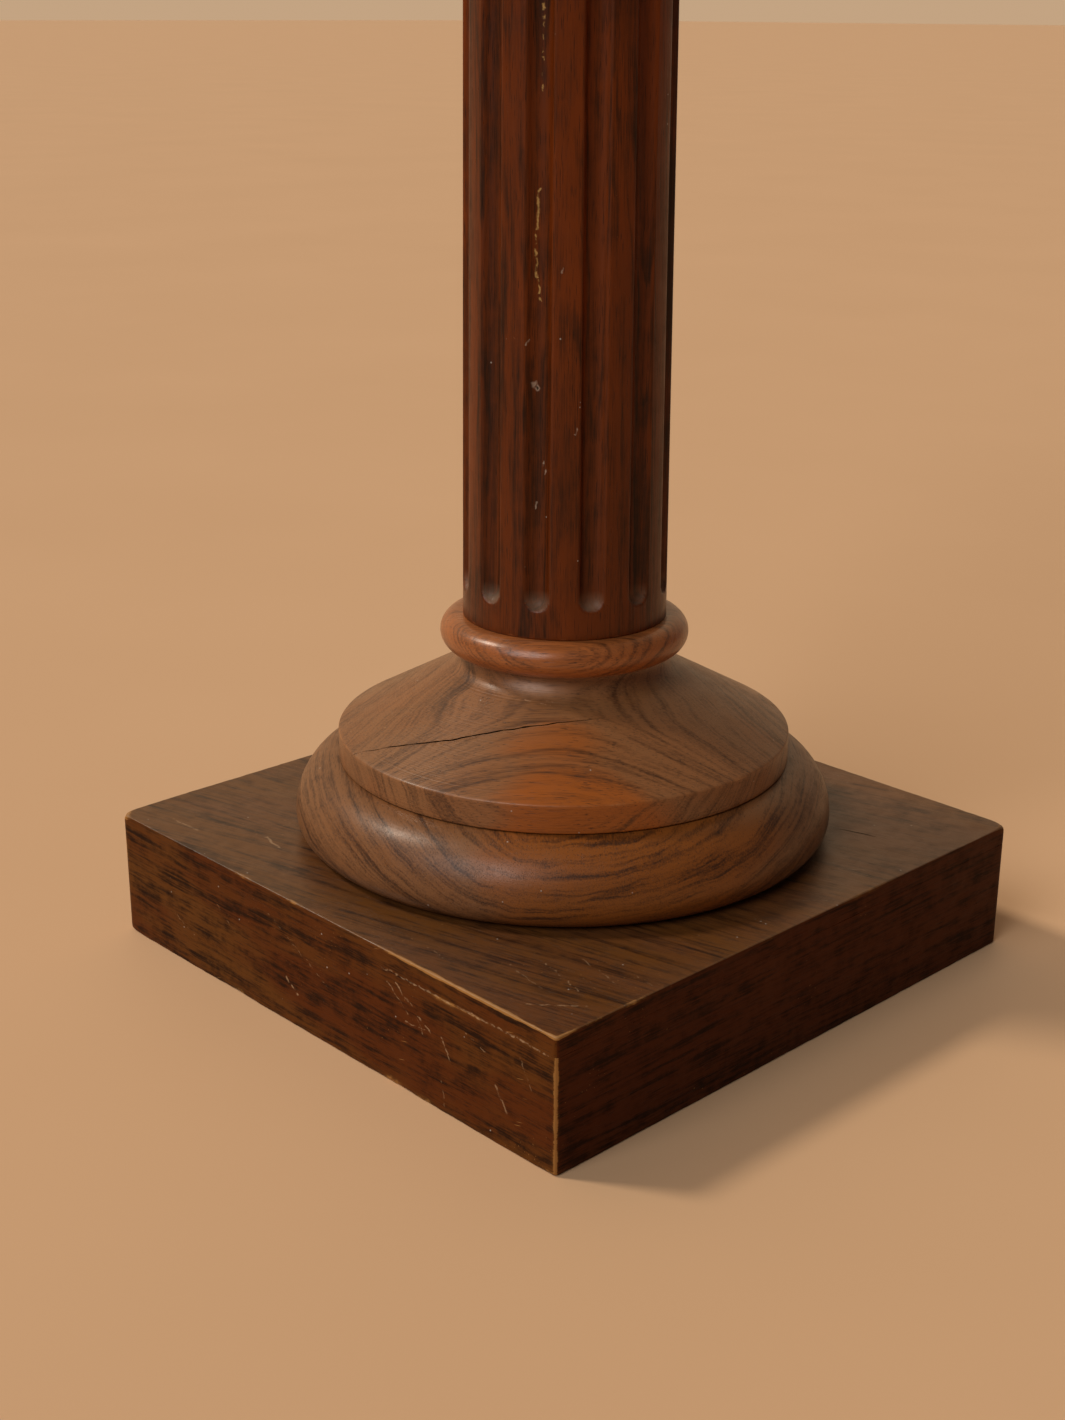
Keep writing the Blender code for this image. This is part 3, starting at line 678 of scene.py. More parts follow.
def fluting_tree() -> ShapeTree:
    """Cuts round-ended flutes into a turned shaft, as a round-nosed cutter run up it would.

    Returns:
        The tree. Its object is the turned shaft, standing on Z.
    """
    tree = ShapeTree("fluting", {
        "Flutes": ("NodeSocketInt", 12),
        "Cutter Radius": ("NodeSocketFloat", 0.0064),
        "Stand Off": ("NodeSocketFloat", 0.0022),
        "Foot Radius": ("NodeSocketFloat", 0.0475),
        "Foot Height": ("NodeSocketFloat", 0.0),
        "Taper": ("NodeSocketFloat", 0.007),
        "Lowest": ("NodeSocketFloat", 0.02),
        "Highest": ("NodeSocketFloat", 0.8),
        "Softness": ("NodeSocketFloat", 0.0008),
        "Material": ("NodeSocketMaterial", None),
    })
    s, src = tree.sketch, tree.sources
    position = s.add("GeometryNodeInputPosition").outputs[0]
    part = s.add("ShaderNodeSeparateXYZ", Vector=position)
    x, y, z = part.outputs[0], part.outputs[1], part.outputs[2]
    radius = s.vector("LENGTH", s.vector("MULTIPLY", position, (1.0, 1.0, 0.0)))
    half_pitch = s.math("DIVIDE", math.pi, src["Flutes"])
    turn = s.math("WRAP", s.math("ARCTAN2", y, x), half_pitch, s.math("MULTIPLY", -1.0, half_pitch))
    fall = s.math("MULTIPLY", s.math("SUBTRACT", z, src["Foot Height"]), src["Taper"])
    axis = s.math("SUBTRACT", s.math("ADD", src["Foot Radius"], src["Stand Off"]), fall)
    below = s.math("SUBTRACT", src["Lowest"], z)
    above = s.math("SUBTRACT", z, src["Highest"])
    past = s.math("MAXIMUM", s.math("MAXIMUM", below, above), 0.0)
    squared = s.math("MULTIPLY", src["Cutter Radius"], src["Cutter Radius"])
    squared = s.math("SUBTRACT", squared, s.math("MULTIPLY", past, past))
    side = s.math("MULTIPLY", axis, s.math("SINE", turn))
    bite = s.math("SQRT", s.math("MAXIMUM", s.math(
        "SUBTRACT", squared, s.math("MULTIPLY", side, side)), 0.0))
    cut = s.math("SUBTRACT", s.math("MULTIPLY", axis, s.math("COSINE", turn)), bite)
    ragged = s.noise(s.vector("MULTIPLY", position, (1.0, 1.0, 0.35)), 240.0, 3.0, 0.6)
    soft = s.math("MULTIPLY", src["Softness"], s.math("MULTIPLY_ADD", ragged, 2.2, -0.1))
    result = s.math("SMOOTH_MIN", radius, cut, s.math("MAXIMUM", soft, 0.0002))
    depth = s.math("MAXIMUM", s.math("SUBTRACT", radius, result), 0.0)
    on_edge = s.math("DIVIDE", s.math("ABSOLUTE", s.math("SUBTRACT", radius, cut)), 0.0011)
    on_edge = s.math("SUBTRACT", 1.0, s.math("MINIMUM", on_edge, 1.0))
    inside = s.math("GREATER_THAN", s.math("SUBTRACT", axis, radius), -1.0)
    on_edge = s.math("MULTIPLY", on_edge, inside)
    # The lower half of each flute's rounded end is paled: settled dust and a painted highlight.
    low_end = s.math("MAXIMUM", s.math("ADD", below, 0.003), 0.0)
    scooped = s.math("MULTIPLY", s.math("MULTIPLY", low_end, 110.0), s.step(depth, 0.0, 0.001))
    # Deeper in a flute is darker: grime and painted shade.
    names = {Wear.RUBBED: on_edge, Wear.GRIME_AND_SHADE: s.math("MULTIPLY", depth, 60.0),
             Wear.DUST_AND_HIGHLIGHT: s.math("MINIMUM", scooped, 0.7)}
    ratio = s.math("DIVIDE", result, s.math("MAXIMUM", radius, 0.0001))
    scale = s.add("ShaderNodeCombineXYZ", X=ratio, Y=ratio, Z=1.0).outputs[0]
    geometry = src["Geometry"]
    for wear, value in names.items():
        old = s.add("GeometryNodeInputNamedAttribute", {"data_type": "FLOAT"}, Name=wear.value)
        total = s.math("ADD", old.outputs["Attribute"], value)
        geometry = s.add("GeometryNodeStoreNamedAttribute",
                         {"data_type": "FLOAT", "domain": "POINT"},
                         Geometry=geometry, Name=wear.value, Value=total).outputs[0]
    geometry = s.add("GeometryNodeSetPosition", Geometry=geometry,
                     Position=s.vector("MULTIPLY", position, scale)).outputs[0]
    tree.close(geometry)
    return tree


def ring_of_copies_tree() -> ShapeTree:
    """Places copies of the object's mesh at even steps on a circle.

    Returns:
        The tree. Its object is one copy at the origin.
    """
    tree = ShapeTree("ring_of_copies", {
        "Count": ("NodeSocketInt", 4),
        "Circle": ("NodeSocketFloat", 0.08),
        "Height": ("NodeSocketFloat", 0.0),
        "First Angle": ("NodeSocketFloat", 0.0),
        "Material": ("NodeSocketMaterial", None),
    })
    s, src = tree.sketch, tree.sources
    circle = s.add("GeometryNodeMeshCircle", Vertices=src["Count"], Radius=src["Circle"])
    turn = s.add("ShaderNodeCombineXYZ", Z=src["First Angle"]).outputs[0]
    lift = s.add("ShaderNodeCombineXYZ", Z=src["Height"]).outputs[0]
    placed = s.add("GeometryNodeTransform", Geometry=circle.outputs[0], Translation=lift,
                   Rotation=turn).outputs[0]
    number = s.add("GeometryNodeInputIndex").outputs[0]
    spun = s.add("ShaderNodeCombineXYZ", Z=s.math("MULTIPLY", number, 1.9)).outputs[0]
    copies = s.add("GeometryNodeInstanceOnPoints", Points=placed, Instance=src["Geometry"],
                   Rotation=spun).outputs[0]
    tree.close(copies)
    return tree


# Meshes


def add_attributes(mesh: bpy.types.Mesh, **values: np.ndarray) -> None:
    """Stores one float for each vertex under each name.

    Args:
        mesh: The mesh.
        **values: Attribute names and a number for each vertex.
    """
    for name, numbers in values.items():
        attribute = mesh.attributes.new(name, "FLOAT", "POINT")
        attribute.data.foreach_set("value", np.asarray(numbers, dtype=np.float32).ravel())


def new_object(name: str, mesh: bpy.types.Mesh) -> bpy.types.Object:
    """Links a new object at the origin.

    Args:
        name: The object's name.
        mesh: Its mesh.

    Returns:
        The object.
    """
    obj = bpy.data.objects.new(name, mesh)
    bpy.context.scene.collection.objects.link(obj)
    return obj


def face_outwards(mesh: bpy.types.Mesh) -> None:
    """Joins a closed mesh's doubled vertices and turns all its faces outwards.

    Args:
        mesh: The mesh, changed in place.
    """
    shape = bmesh.new()
    shape.from_mesh(mesh)
    bmesh.ops.remove_doubles(shape, verts=shape.verts, dist=0.000002)
    bmesh.ops.recalc_face_normals(shape, faces=shape.faces)
    if shape.calc_volume(signed=True) < 0:
        bmesh.ops.reverse_faces(shape, faces=shape.faces)
    shape.to_mesh(mesh)
    shape.free()


def settle(obj: bpy.types.Object) -> None:
    """Turns an object's modifiers into a plain closed mesh with its faces outwards.

    Args:
        obj: The object, whose mesh is replaced.
    """
    graph = bpy.context.evaluated_depsgraph_get()
    mesh = bpy.data.meshes.new_from_object(obj.evaluated_get(graph))
    obj.modifiers.clear()
    face_outwards(mesh)
    for place in reversed(range(len(mesh.materials))):
        if mesh.materials[place] is None:
            mesh.materials.pop(index=place)
    obj.data = mesh


def loft(name: str, rows: np.ndarray, looped: bool) -> bpy.types.Mesh:
    """Joins rings of points into a closed mesh.

    Args:
        name: The mesh's name.
        rows: An array of rings, each the same number of points.
        looped: Whether the last ring joins the first. If not, both ends are filled.

    Returns:
        The mesh, with smooth faces that point outwards.
    """
    count, around = rows.shape[:2]
    index = np.arange(count * around).reshape(count, around)
    low = index if looped else index[:-1]
    high = np.roll(index, -1, axis=0) if looped else index[1:]
    quads = np.stack([low, np.roll(low, -1, 1), np.roll(high, -1, 1), high], -1).reshape(-1, 4)
    faces = quads.tolist()
    if not looped:
        faces += [index[0].tolist(), index[-1].tolist()]
    mesh = bpy.data.meshes.new(name)
    mesh.from_pydata(rows.reshape(-1, 3).tolist(), [], faces)
    face_outwards(mesh)
    mesh.shade_smooth()
    return mesh


def keep(obj: bpy.types.Object, slot: str, *nodes: str) -> bpy.types.Object:
    """Finishes a piece: hangs it on the body that it rides on and hides the CAD nodes that it stands
    for.

    Args:
        obj: The finished piece.
        slot: The record's material slot. Not used.
        *nodes: The CAD nodes that it stands for.

    Returns:
        The piece.
    """
    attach(obj, BODY)
    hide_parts(*nodes)
    LOG.info("%s: %d faces", obj.name, len(obj.data.polygons))
    return obj


@dataclass(frozen=True)
class Crack:
    """A drying crack that runs over a surface, open in the middle and closed at its ends."""

    path: tuple[Point, ...]
    width: float = 0.9 * MM
    depth: float = 3.0 * MM
    seed: int = 1

    def surface_points(self, obj: bpy.types.Object) -> list[tuple[Vector, Vector]]:
        """Drops the path on to the piece's surface at short steps.

        Args:
            obj: The piece.

        Returns:
            A point and the surface's normal for each step.
        """
        corners = [Vector(place) for place in self.path]
        found = []
        for start, end in zip(corners, corners[1:]):
            steps = max(2, round((end - start).length / (2.5 * MM)))
            for k in range(steps):
                place = start.lerp(end, k / steps)
                sway = noise.noise_vector(place * 160 + Vector((self.seed, 0, 0))) * 0.7 * MM
                _, spot, normal, _ = obj.closest_point_on_mesh(place + sway)
                found.append((spot, normal))
        _, spot, normal, _ = obj.closest_point_on_mesh(corners[-1])
        return found + [(spot, normal)]

    def blade(self, obj: bpy.types.Object) -> bpy.types.Object:
        """Makes the wedge that the crack removes.

        Args:
            obj: The cracked piece.

        Returns:
            The blade, still in the scene.
        """
        steps = self.surface_points(obj)
        last = len(steps) - 1
        rows = []
        for k, (spot, normal) in enumerate(steps):
            ahead = steps[min(k + 1, last)][0] - steps[max(k - 1, 0)][0]
            side = normal.cross(ahead).normalized()
            swell = math.sin(math.pi * (k + 0.3) / (last + 0.6)) ** 0.6
            ragged = 0.75 + 0.5 * noise.noise(spot * 700 + Vector((self.seed, 3, 1)))
            half = self.width / 2 * swell * ragged
            deep = self.depth * swell
            rows.append([spot + normal * MM + side * half * 1.6,
                         spot + normal * MM - side * half * 1.6, spot - normal * deep])
        mesh = loft("crack_blade", np.array(rows), looped=False)
        # The crack's walls are a near-black painted shade.
        mesh.materials.append(bpy.data.materials["crack_shadow_wood"])
        return new_object("crack_blade", mesh)

    def cut(self, obj: bpy.types.Object) -> None:
        """Opens the crack in a finished piece.

        Args:
            obj: The piece to crack, with no modifiers left.
        """
        blade = self.blade(obj)
        modifier = obj.modifiers.new("crack", "BOOLEAN")
        modifier.operation = "DIFFERENCE"
        modifier.solver = "EXACT"
        modifier.material_mode = "TRANSFER"
        modifier.object = blade
        settle(obj)
        obj.data.set_sharp_from_angle(angle=math.radians(32))
        bpy.data.objects.remove(blade)


# Turned work


@dataclass
class Outline:
    """A closed turned outline, run down its outer side and back up its inner side.

    Each corner is (radius, height, softness), and the softness is the radius of its rounding.
    """

    corners: list[Point]
    longest: float = 2.0 * MM
    feel: float = 1.3 * MM

    def rounded(self) -> np.ndarray:
        """Replaces each soft corner by a short arc of five points.

        Returns:
            Points (radius, height) in order.
        """
        points = []
        corners = [Vector((r, z)) for r, z, _ in self.corners]
        for i, (_, _, soft) in enumerate(self.corners):
            here, before, after = corners[i], corners[i - 1], corners[(i + 1) % len(corners)]
            if soft <= 0.0:
                points.append(here)
                continue
            back, ahead = before - here, after - here
            reach = min(soft, back.length * 0.45, ahead.length * 0.45)
            start, end = here + back.normalized() * reach, here + ahead.normalized() * reach
            for t in (0.0, 0.25, 0.5, 0.75, 1.0):
                points.append(start * (1 - t) ** 2 + here * 2 * t * (1 - t) + end * t * t)
        return np.array([(p.x, p.y) for p in points])

    def spaced(self) -> np.ndarray:
        """Adds points so that none is further than the longest step from the next.

        Returns:
            Points (radius, height) in order.
        """
        points = self.rounded()
        ahead = np.roll(points, -1, axis=0)
        found = []
        for a, b in zip(points, ahead):
            steps = max(1, math.ceil(float(np.hypot(*(b - a))) / self.longest))
            found += [a + (b - a) * k / steps for k in range(steps)]
        return np.array(found)

    def bends(self, points: np.ndarray, along: np.ndarray, total: float) -> np.ndarray:
        """How far the outline turns within reach of a fingertip, positive where it bulges.

        Args:
            points: The outline.
            along: How far each point is along it.
            total: Its whole length.

        Returns:
            An angle in radians at each point.
        """
        def at(s: np.ndarray) -> np.ndarray:
            """Points at distances along the outline."""
            return np.stack([np.interp(s, along, points[:, k], period=total) for k in (0, 1)], -1)

        back = points - at(along - self.feel)
        ahead = at(along + self.feel) - points
        cross = back[:, 0] * ahead[:, 1] - back[:, 1] * ahead[:, 0]
        return -np.arctan2(cross, (back * ahead).sum(1))

    def mesh(self, name: str) -> bpy.types.Mesh:
        """The outline as a mesh of edges, with how rubbed each point is and how much grime and
        painted shade it gets.

        Args:
            name: The mesh's name.

        Returns:
            The mesh that the turning tree reads.
        """
        points = self.spaced()
        gaps = np.hypot(*(np.roll(points, -1, axis=0) - points).T)
        along = np.concatenate([[0.0], np.cumsum(gaps)[:-1]])
        bend = self.bends(points, along, float(gaps.sum()))
        mesh = bpy.data.meshes.new(name)
        count = len(points)
        edges = [(i, (i + 1) % count) for i in range(count)]
        mesh.from_pydata([(r, 0.0, z) for r, z in points], edges, [])
        sheltered = np.clip((points[:, 1] - points[:, 1].min()) / (1.5 * MM), 0, 1)
        # Concave bends and the lowest 1.5 mm of the piece, where it sits on the one below, are
        # darkened: grime and painted shade.
        add_attributes(
            mesh, rubbed=np.clip(bend / 1.1, 0, 1) * sheltered,
            grime=np.clip(-bend / 1.1, 0, 1) + 0.5 * (1 - sheltered), along=along,
            dusty=np.zeros(count),
        )
        return mesh


def arc(middle: tuple[float, float], radii: tuple[float, float], start: float, end: float,
        steps: int) -> list[Point]:
    """Corners on an elliptical arc.

    Args:
        middle: Radius and height of the arc's centre.
        radii: The ellipse's half widths.
        start: First angle, in degrees.
        end: Last angle, in degrees.
        steps: How many parts the arc is cut into.

    Returns:
        Corners with no softness, both ends included.
    """
    angles = [math.radians(start + (end - start) * k / steps) for k in range(steps + 1)]
    return [
        (middle[0] + radii[0] * math.cos(a), middle[1] + radii[1] * math.sin(a), 0.0)
        for a in angles
    ]


def flare(neck: float, sweep: float, rim: float, rim_height: float, top: float, soft: float,
          ) -> list[Point]:
    """Hollow sweep from a neck, straight flare and upright rim.

    Args:
        neck: Radius at the neck.
        sweep: Radius of the hollow under the neck.
        rim: Radius of the rim.
        rim_height: Height of the rim's upper edge.
        top: Height of the neck.
        soft: Rounding of the rim's edges.

    Returns:
        Corners from the neck down to the rim's upper edge.
    """
    reach = math.hypot(rim - neck - sweep, top - rim_height)
    to_rim = math.atan2(rim_height - top, rim - neck - sweep)
    touch = 360 + math.degrees(to_rim - math.acos(sweep / reach))
    return arc((neck + sweep, top), (sweep, sweep), 180, touch, 10) + [(rim, rim_height, soft)]


@dataclass
class TurningShop:
    """Makes turned pieces from outlines, with the trees that all of them share."""

    turning: ShapeTree = field(default_factory=turning_tree)

    def turn(self, name: str, corners: list[Point], finish: bpy.types.Material, around: int,
             shrink_angle: float, uneven: float = 0.12 * MM) -> bpy.types.Object:
        """Turns one piece, with its modifier still live.

        Args:
            name: The piece's name.
            corners: Its outline.
            finish: Its material.
            around: Facets round it.
            shrink_angle: Direction of the long grain, in which it has shrunk least.
            uneven: How far it is out of true.

        Returns:
            The piece.
        """
        obj = new_object(name, Outline(corners).mesh(name))
        self.turning.on(obj, Around=around, Shrink_Angle=shrink_angle, Unevenness=uneven,
                        Material=finish)
        return obj


@dataclass
class TurnedBase:
    """The torus ring, the flared disc and the bead."""

    shop: TurningShop
    bore: float = 6.5 * MM
    socket: float = 29.3 * MM
    socket_depth: float = 20.3 * MM
    torus_top_share: float = 0.813
    torus_foot_share: float = 0.918
    torus_widest: float = 10.5 * MM
    disc_neck: float = 48.2 * MM
    disc_sweep: float = 10.7 * MM
    disc_rim: float = 13.0 * MM
    disc_crack: tuple[Point, ...] = (
        (-0.033, -0.101, 0.1125), (0.011, -0.0815, 0.127), (0.034, -0.061, 0.134),
        (0.051, -0.040, 0.137), (0.057, -0.029, 0.138),
    )
    facets: int = 288
    bead_facets: int = 224
    shrink_angle: float = 0.74

    def torus(self, finish: bpy.types.Material) -> bpy.types.Object:
        """Turns the ring that lies on the plinth, widest low down.

        Args:
            finish: Its wood.

        Returns:
            The torus.
        """
        low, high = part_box("base_torus")
        radius, height = high[0], high[2] - low[2]
        top, foot = radius * self.torus_top_share, radius * self.torus_foot_share
        upper = arc((top, self.torus_widest), (radius - top, height - self.torus_widest), 90, 0, 22)
        lower = arc((foot, self.torus_widest), (radius - foot, self.torus_widest), 0, -90, 12)
        corners = upper + lower[1:] + [(self.bore, 0.0, 0.0), (self.bore, height, 0.0)]
        corners = [(r, z + low[2], soft) for r, z, soft in corners]
        obj = self.shop.turn("torus_ring", corners, finish, self.facets, self.shrink_angle)
        settle(obj)
        return keep(obj, "torus_wood", "base_torus")

    def disc(self, finish: bpy.types.Material) -> bpy.types.Object:
        """Turns the flared disc, with the socket for the shaft in its top.

        Args:
            finish: Its wood.

        Returns:
            The disc.
        """
        low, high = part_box("base_disc")
        height = high[2] - low[2]
        corners = flare(self.disc_neck, self.disc_sweep, high[0], self.disc_rim, height, 0.9 * MM)
        corners += [
            (high[0], 0.0, 0.7 * MM), (self.bore, 0.0, 0.0),
            (self.bore, height - self.socket_depth, 0.0),
            (self.socket, height - self.socket_depth, 0.0), (self.socket, height, 0.0),
        ]
        corners = [(r, z + low[2], soft) for r, z, soft in corners]
        obj = self.shop.turn("flared_disc", corners, finish, self.facets, self.shrink_angle)
        settle(obj)
        Crack(self.disc_crack).cut(obj)
        return keep(obj, "disc_wood", "base_disc")

    def bead(self, finish: bpy.types.Material) -> bpy.types.Object:
        """Turns the half-round ring round the shaft's foot.

        Args:
            finish: Its wood.

        Returns:
            The bead.
        """
        low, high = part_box("base_bead")
        half = (high[2] - low[2]) / 2
        corners = arc((high[0] - half, half), (half, half), 90, -90, 26)
        corners += [(self.socket, 0.0, 0.0), (self.socket, 2 * half, 0.0)]
        corners = [(r, z + low[2], soft) for r, z, soft in corners]
        obj = self.shop.turn("base_ring", corners, finish, self.bead_facets, self.shrink_angle)
        settle(obj)
        return keep(obj, "bead_wood", "base_bead")


@dataclass
class FlutedShaft:
    """The tapered shaft with its round-ended flutes and its spigots."""

    shop: TurningShop
    fluting: ShapeTree = field(default_factory=fluting_tree)
    flutes: int = 12
    flute_width: float = 12.0 * MM
    flute_depth: float = 4.2 * MM
    margin: float = 12.7 * MM
    bore: float = 6.5 * MM
    foot_spigot: float = 29.0 * MM
    head_spigot: float = 25.0 * MM
    foot_radius: float = 47.5 * MM
    head_radius: float = 41.8 * MM
    facets_per_flute: int = 28
    fine_step: float = 0.7 * MM
    coarse_step: float = 9.0 * MM
    shoulder_gap: float = 0.1 * MM

    @classmethod
    def cutter_radius(cls) -> float:
        """The radius of the cutter that leaves a flute of this width and depth."""
        return (cls.flute_width**2 / 4 + cls.flute_depth**2) / (2 * cls.flute_depth)

    @classmethod
    def place(cls, azimuth: float, height: float) -> Point:
        """Finds a place on the fluted surface.

        Args:
            azimuth: Degrees from +X.
            height: Height above the floor.

        Returns:
            The place.
        """
        foot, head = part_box("base_bead")[1][2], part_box("neck_bead")[0][2]
        share = (height - foot) / (head - foot)
        radius = cls.foot_radius + (cls.head_radius - cls.foot_radius) * share
        cutter = cls.cutter_radius()
        pitch = 360 / cls.flutes
        off = math.radians((azimuth + pitch / 2) % pitch - pitch / 2)
        axis = radius + cutter - cls.flute_depth
        reach = max(cutter**2 - (axis * math.sin(off)) ** 2, 0.0)
        radius = min(radius, axis * math.cos(off) - math.sqrt(reach))
        turn = math.radians(azimuth)
        return (radius * math.cos(turn), radius * math.sin(turn), height)

    def heights(self, low: float, high: float) -> list[float]:
        """Heights of the shaft's rings from the top down, close together at the flutes' ends.

        Args:
            low: The shaft's foot.
            high: The shaft's head.

        Returns:
            Heights in metres.
        """
        zone = self.margin + self.flute_width
        fine = round(zone / self.fine_step)
        coarse = round((high - low - 2 * zone) / self.coarse_step)
        top = [high - zone * k / fine for k in range(fine)]
        middle = [high - zone - (high - low - 2 * zone) * k / coarse for k in range(coarse)]
        foot = [low + zone - zone * k / fine for k in range(fine + 1)]
        return top + middle + foot

    def build(self, finish: bpy.types.Material) -> bpy.types.Object:
        """Turns the shaft and cuts its flutes.

        Args:
            finish: Its wood.

        Returns:
            The shaft.
        """
        low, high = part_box("fluted_shaft")
        foot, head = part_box("base_bead")[1][2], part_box("neck_bead")[0][2]
        foot += self.shoulder_gap
        head -= self.shoulder_gap
        taper = (self.foot_radius - self.head_radius) / (head - foot)
        corners = [(self.head_spigot, high[2], 0.0), (self.head_spigot, head, 0.0)]
        for height in self.heights(foot, head):
            corners.append((self.foot_radius - taper * (height - foot), height, 0.0))
        corners += [
            (self.foot_spigot, foot, 0.0), (self.foot_spigot, low[2], 0.0),
            (self.bore, low[2], 0.0), (self.bore, high[2], 0.0),
        ]
        around = self.flutes * self.facets_per_flute
        outline = Outline(corners, longest=20 * MM)
        obj = new_object("shaft", outline.mesh("shaft"))
        self.shop.turning.on(obj, Around=around, Shrinkage=0.0, Unevenness=0.2 * MM,
                             Material=finish)
        cutter = self.cutter_radius()
        first = self.margin + self.flute_width / 2
        self.fluting.on(
            obj, Flutes=self.flutes, Cutter_Radius=cutter, Stand_Off=cutter - self.flute_depth,
            Foot_Radius=self.foot_radius, Foot_Height=foot, Taper=taper, Lowest=foot + first,
            Highest=head - first, Softness=0.9 * MM, Material=finish,
        )
        settle(obj)
        return keep(obj, "shaft_wood", "fluted_shaft")


# Flat work


@dataclass(frozen=True)
class Knock:
    """A place where an edge was hit or rubbed harder than elsewhere."""

    at: Point
    reach: float
    bite: float
    rub: float


@dataclass
class BoardEdge:
    """Softens an upright prism's upper and lower edges unevenly, and marks what is rubbed."""

    seed: int
    soft: float = 1.1 * MM
    rough: float = 0.55
    knocks: tuple[Knock, ...] = ()
    rub: float = 0.5

    def bites(self, places: np.ndarray) -> tuple[np.ndarray, np.ndarray]:
        """How far each place on an edge is worn back, and how rubbed it is.

        Args:
            places: Points on the edge.

        Returns:
            The radius of the worn edge and its rub, one for each point.
        """
        radii, rubs = [], []
        for x, y, z in places:
            spot = Vector((x, y, z)) * 55 + Vector((self.seed * 7.3, 1.7, 4.1))
            small = noise.fractal(spot * 3.0, 0.7, 2.0, 3)
            large = noise.noise(spot * 0.45)
            radius = self.soft * (1.0 + self.rough * (0.8 * small + large))
            rub = self.rub + 0.35 * large
            for knock in self.knocks:
                far = (Vector(knock.at) - Vector((x, y, z))).length / knock.reach
                strength = math.exp(-far * far)
                radius += knock.bite * strength * (1.0 + 0.5 * small)
                rub += knock.rub * strength
            radii.append(max(radius, 0.25 * self.soft))
            rubs.append(rub)
        return np.array(radii), np.clip(np.array(rubs), 0, 1)


@dataclass(frozen=True)
class SquareCorners:
    """How far each upright corner of a square is rounded, from the front left one round."""

    radii: tuple[float, float, float, float] = (4.5 * MM, 1.8 * MM, 4.5 * MM, 4.0 * MM)

    def most(self, points: np.ndarray, half: float) -> np.ndarray:
        """How far an edge may be worn back at each point before its rounded corner folds.

        Args:
            points: Points on the outline.
            half: Half the square's side.

        Returns:
            The largest inset at each point.
        """
        far = half - np.abs(points[:, :2]).min(axis=1)
        quarter = np.select([(points[:, 0] < 0) & (points[:, 1] < 0), points[:, 1] < 0,
                             points[:, 0] >= 0], [0, 1, 2], 3)
        return 0.85 * np.array(self.radii)[quarter] + 0.5 * far

    def outline(self, half: float, step: float) -> tuple[np.ndarray, np.ndarray]:
        """Points round a square with rounded corners.

        Args:
            half: Half its side.
            step: Distance between points on the straight sides.

        Returns:
            The points and their outward normals, in XY.
        """
        points, normals = [], []
        for quarter in range(4):
            turn = Matrix.Rotation(math.radians(90 * quarter), 2)
            start = -half + self.radii[quarter]
            corner = self.radii[(quarter + 1) % 4]
            end = half - corner
            count = round((end - start) / step)
            for k in range(count):
                points.append(turn @ Vector((start + (end - start) * k / count, -half)))
                normals.append(turn @ Vector((0.0, -1.0)))
            for k in range(9):
                angle = math.radians(-90 + 10 * k)
                out = Vector((math.cos(angle), math.sin(angle)))
                points.append(turn @ (Vector((end, -half + corner)) + out * corner))
                normals.append(turn @ out)
        return np.array(points), np.array(normals)


@dataclass
class Board:
    """A square board with rounded upright corners and worn upper and lower edges."""

    node: str
    name: str
    corners: SquareCorners = SquareCorners()
    upper: BoardEdge = field(default_factory=lambda: BoardEdge(1))
    lower: BoardEdge = field(default_factory=lambda: BoardEdge(2, soft=0.35 * MM))
    arc_steps: int = 7

    def mesh(self) -> bpy.types.Mesh:
        """Lofts the board from its underside to its top.

        Returns:
            The board's mesh, with its wear attributes.
        """
        low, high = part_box(self.node)
        points, normals = self.corners.outline(high[0], EDGE_STEP)
        rows, rubs = [], []

        def ring(inset: np.ndarray, height: np.ndarray, rub: np.ndarray, past: float = 0.0,
                 ) -> None:
            """Adds one ring, moved in from the outline and then drawn in to the middle.

            Args:
                inset: How far each point is moved in.
                height: Its height.
                rub: How rubbed it is.
                past: How far the whole ring is drawn in beyond that.
            """
            flat = (points - normals * inset[:, None]) * (1 - past / high[0])
            rows.append(np.column_stack([flat, height]))
            rubs.append(rub)

        level = np.full(len(points), 1.0)
        top_edge = np.column_stack([points, level * high[2]])
        foot_edge = np.column_stack([points, level * low[2]])
        up, up_rub = self.upper.bites(top_edge)
        down, down_rub = self.lower.bites(foot_edge)
        most = self.corners.most(points, high[0])
        up, down = np.minimum(up, most), np.minimum(down, most)
        ring(down, level * low[2], down_rub * 0.0, 5 * MM)
        for k in range(self.arc_steps + 1):
            a = math.radians(90 * k / self.arc_steps)
            ring(down * (1 - math.sin(a)), low[2] + down * (1 - math.cos(a)), down_rub)
        for share, fade in ((0.05, down_rub * 0.3), (0.3, 0 * up_rub), (0.7, 0 * up_rub),
                            (0.95, up_rub * 0.3)):
            bottom, top = low[2] + down, high[2] - up
            ring(level * 0.0, bottom + (top - bottom) * share, fade)
        for k in range(self.arc_steps + 1):
            a = math.radians(90 * k / self.arc_steps)
            ring(up * (1 - math.cos(a)), high[2] - up * (1 - math.sin(a)), up_rub)
        for past, fade in ((0.3 * MM, 0.6), (0.9 * MM, 0.25), (3 * MM, 0.1), (9 * MM, 0.0)):
            ring(up, level * high[2], up_rub * fade, past)
        mesh = loft(self.name, np.array(rows), looped=False)
        add_attributes(mesh, rubbed=np.array(rubs), **clean(mesh))
        return mesh


def clean(mesh: bpy.types.Mesh) -> dict[str, np.ndarray]:
    """No grime or painted shade, no dust or painted highlight and no turning marks anywhere on a
    mesh.
    """
    nothing = np.zeros(len(mesh.vertices))
    return {wear.value: nothing for wear in Wear if wear is not Wear.RUBBED}


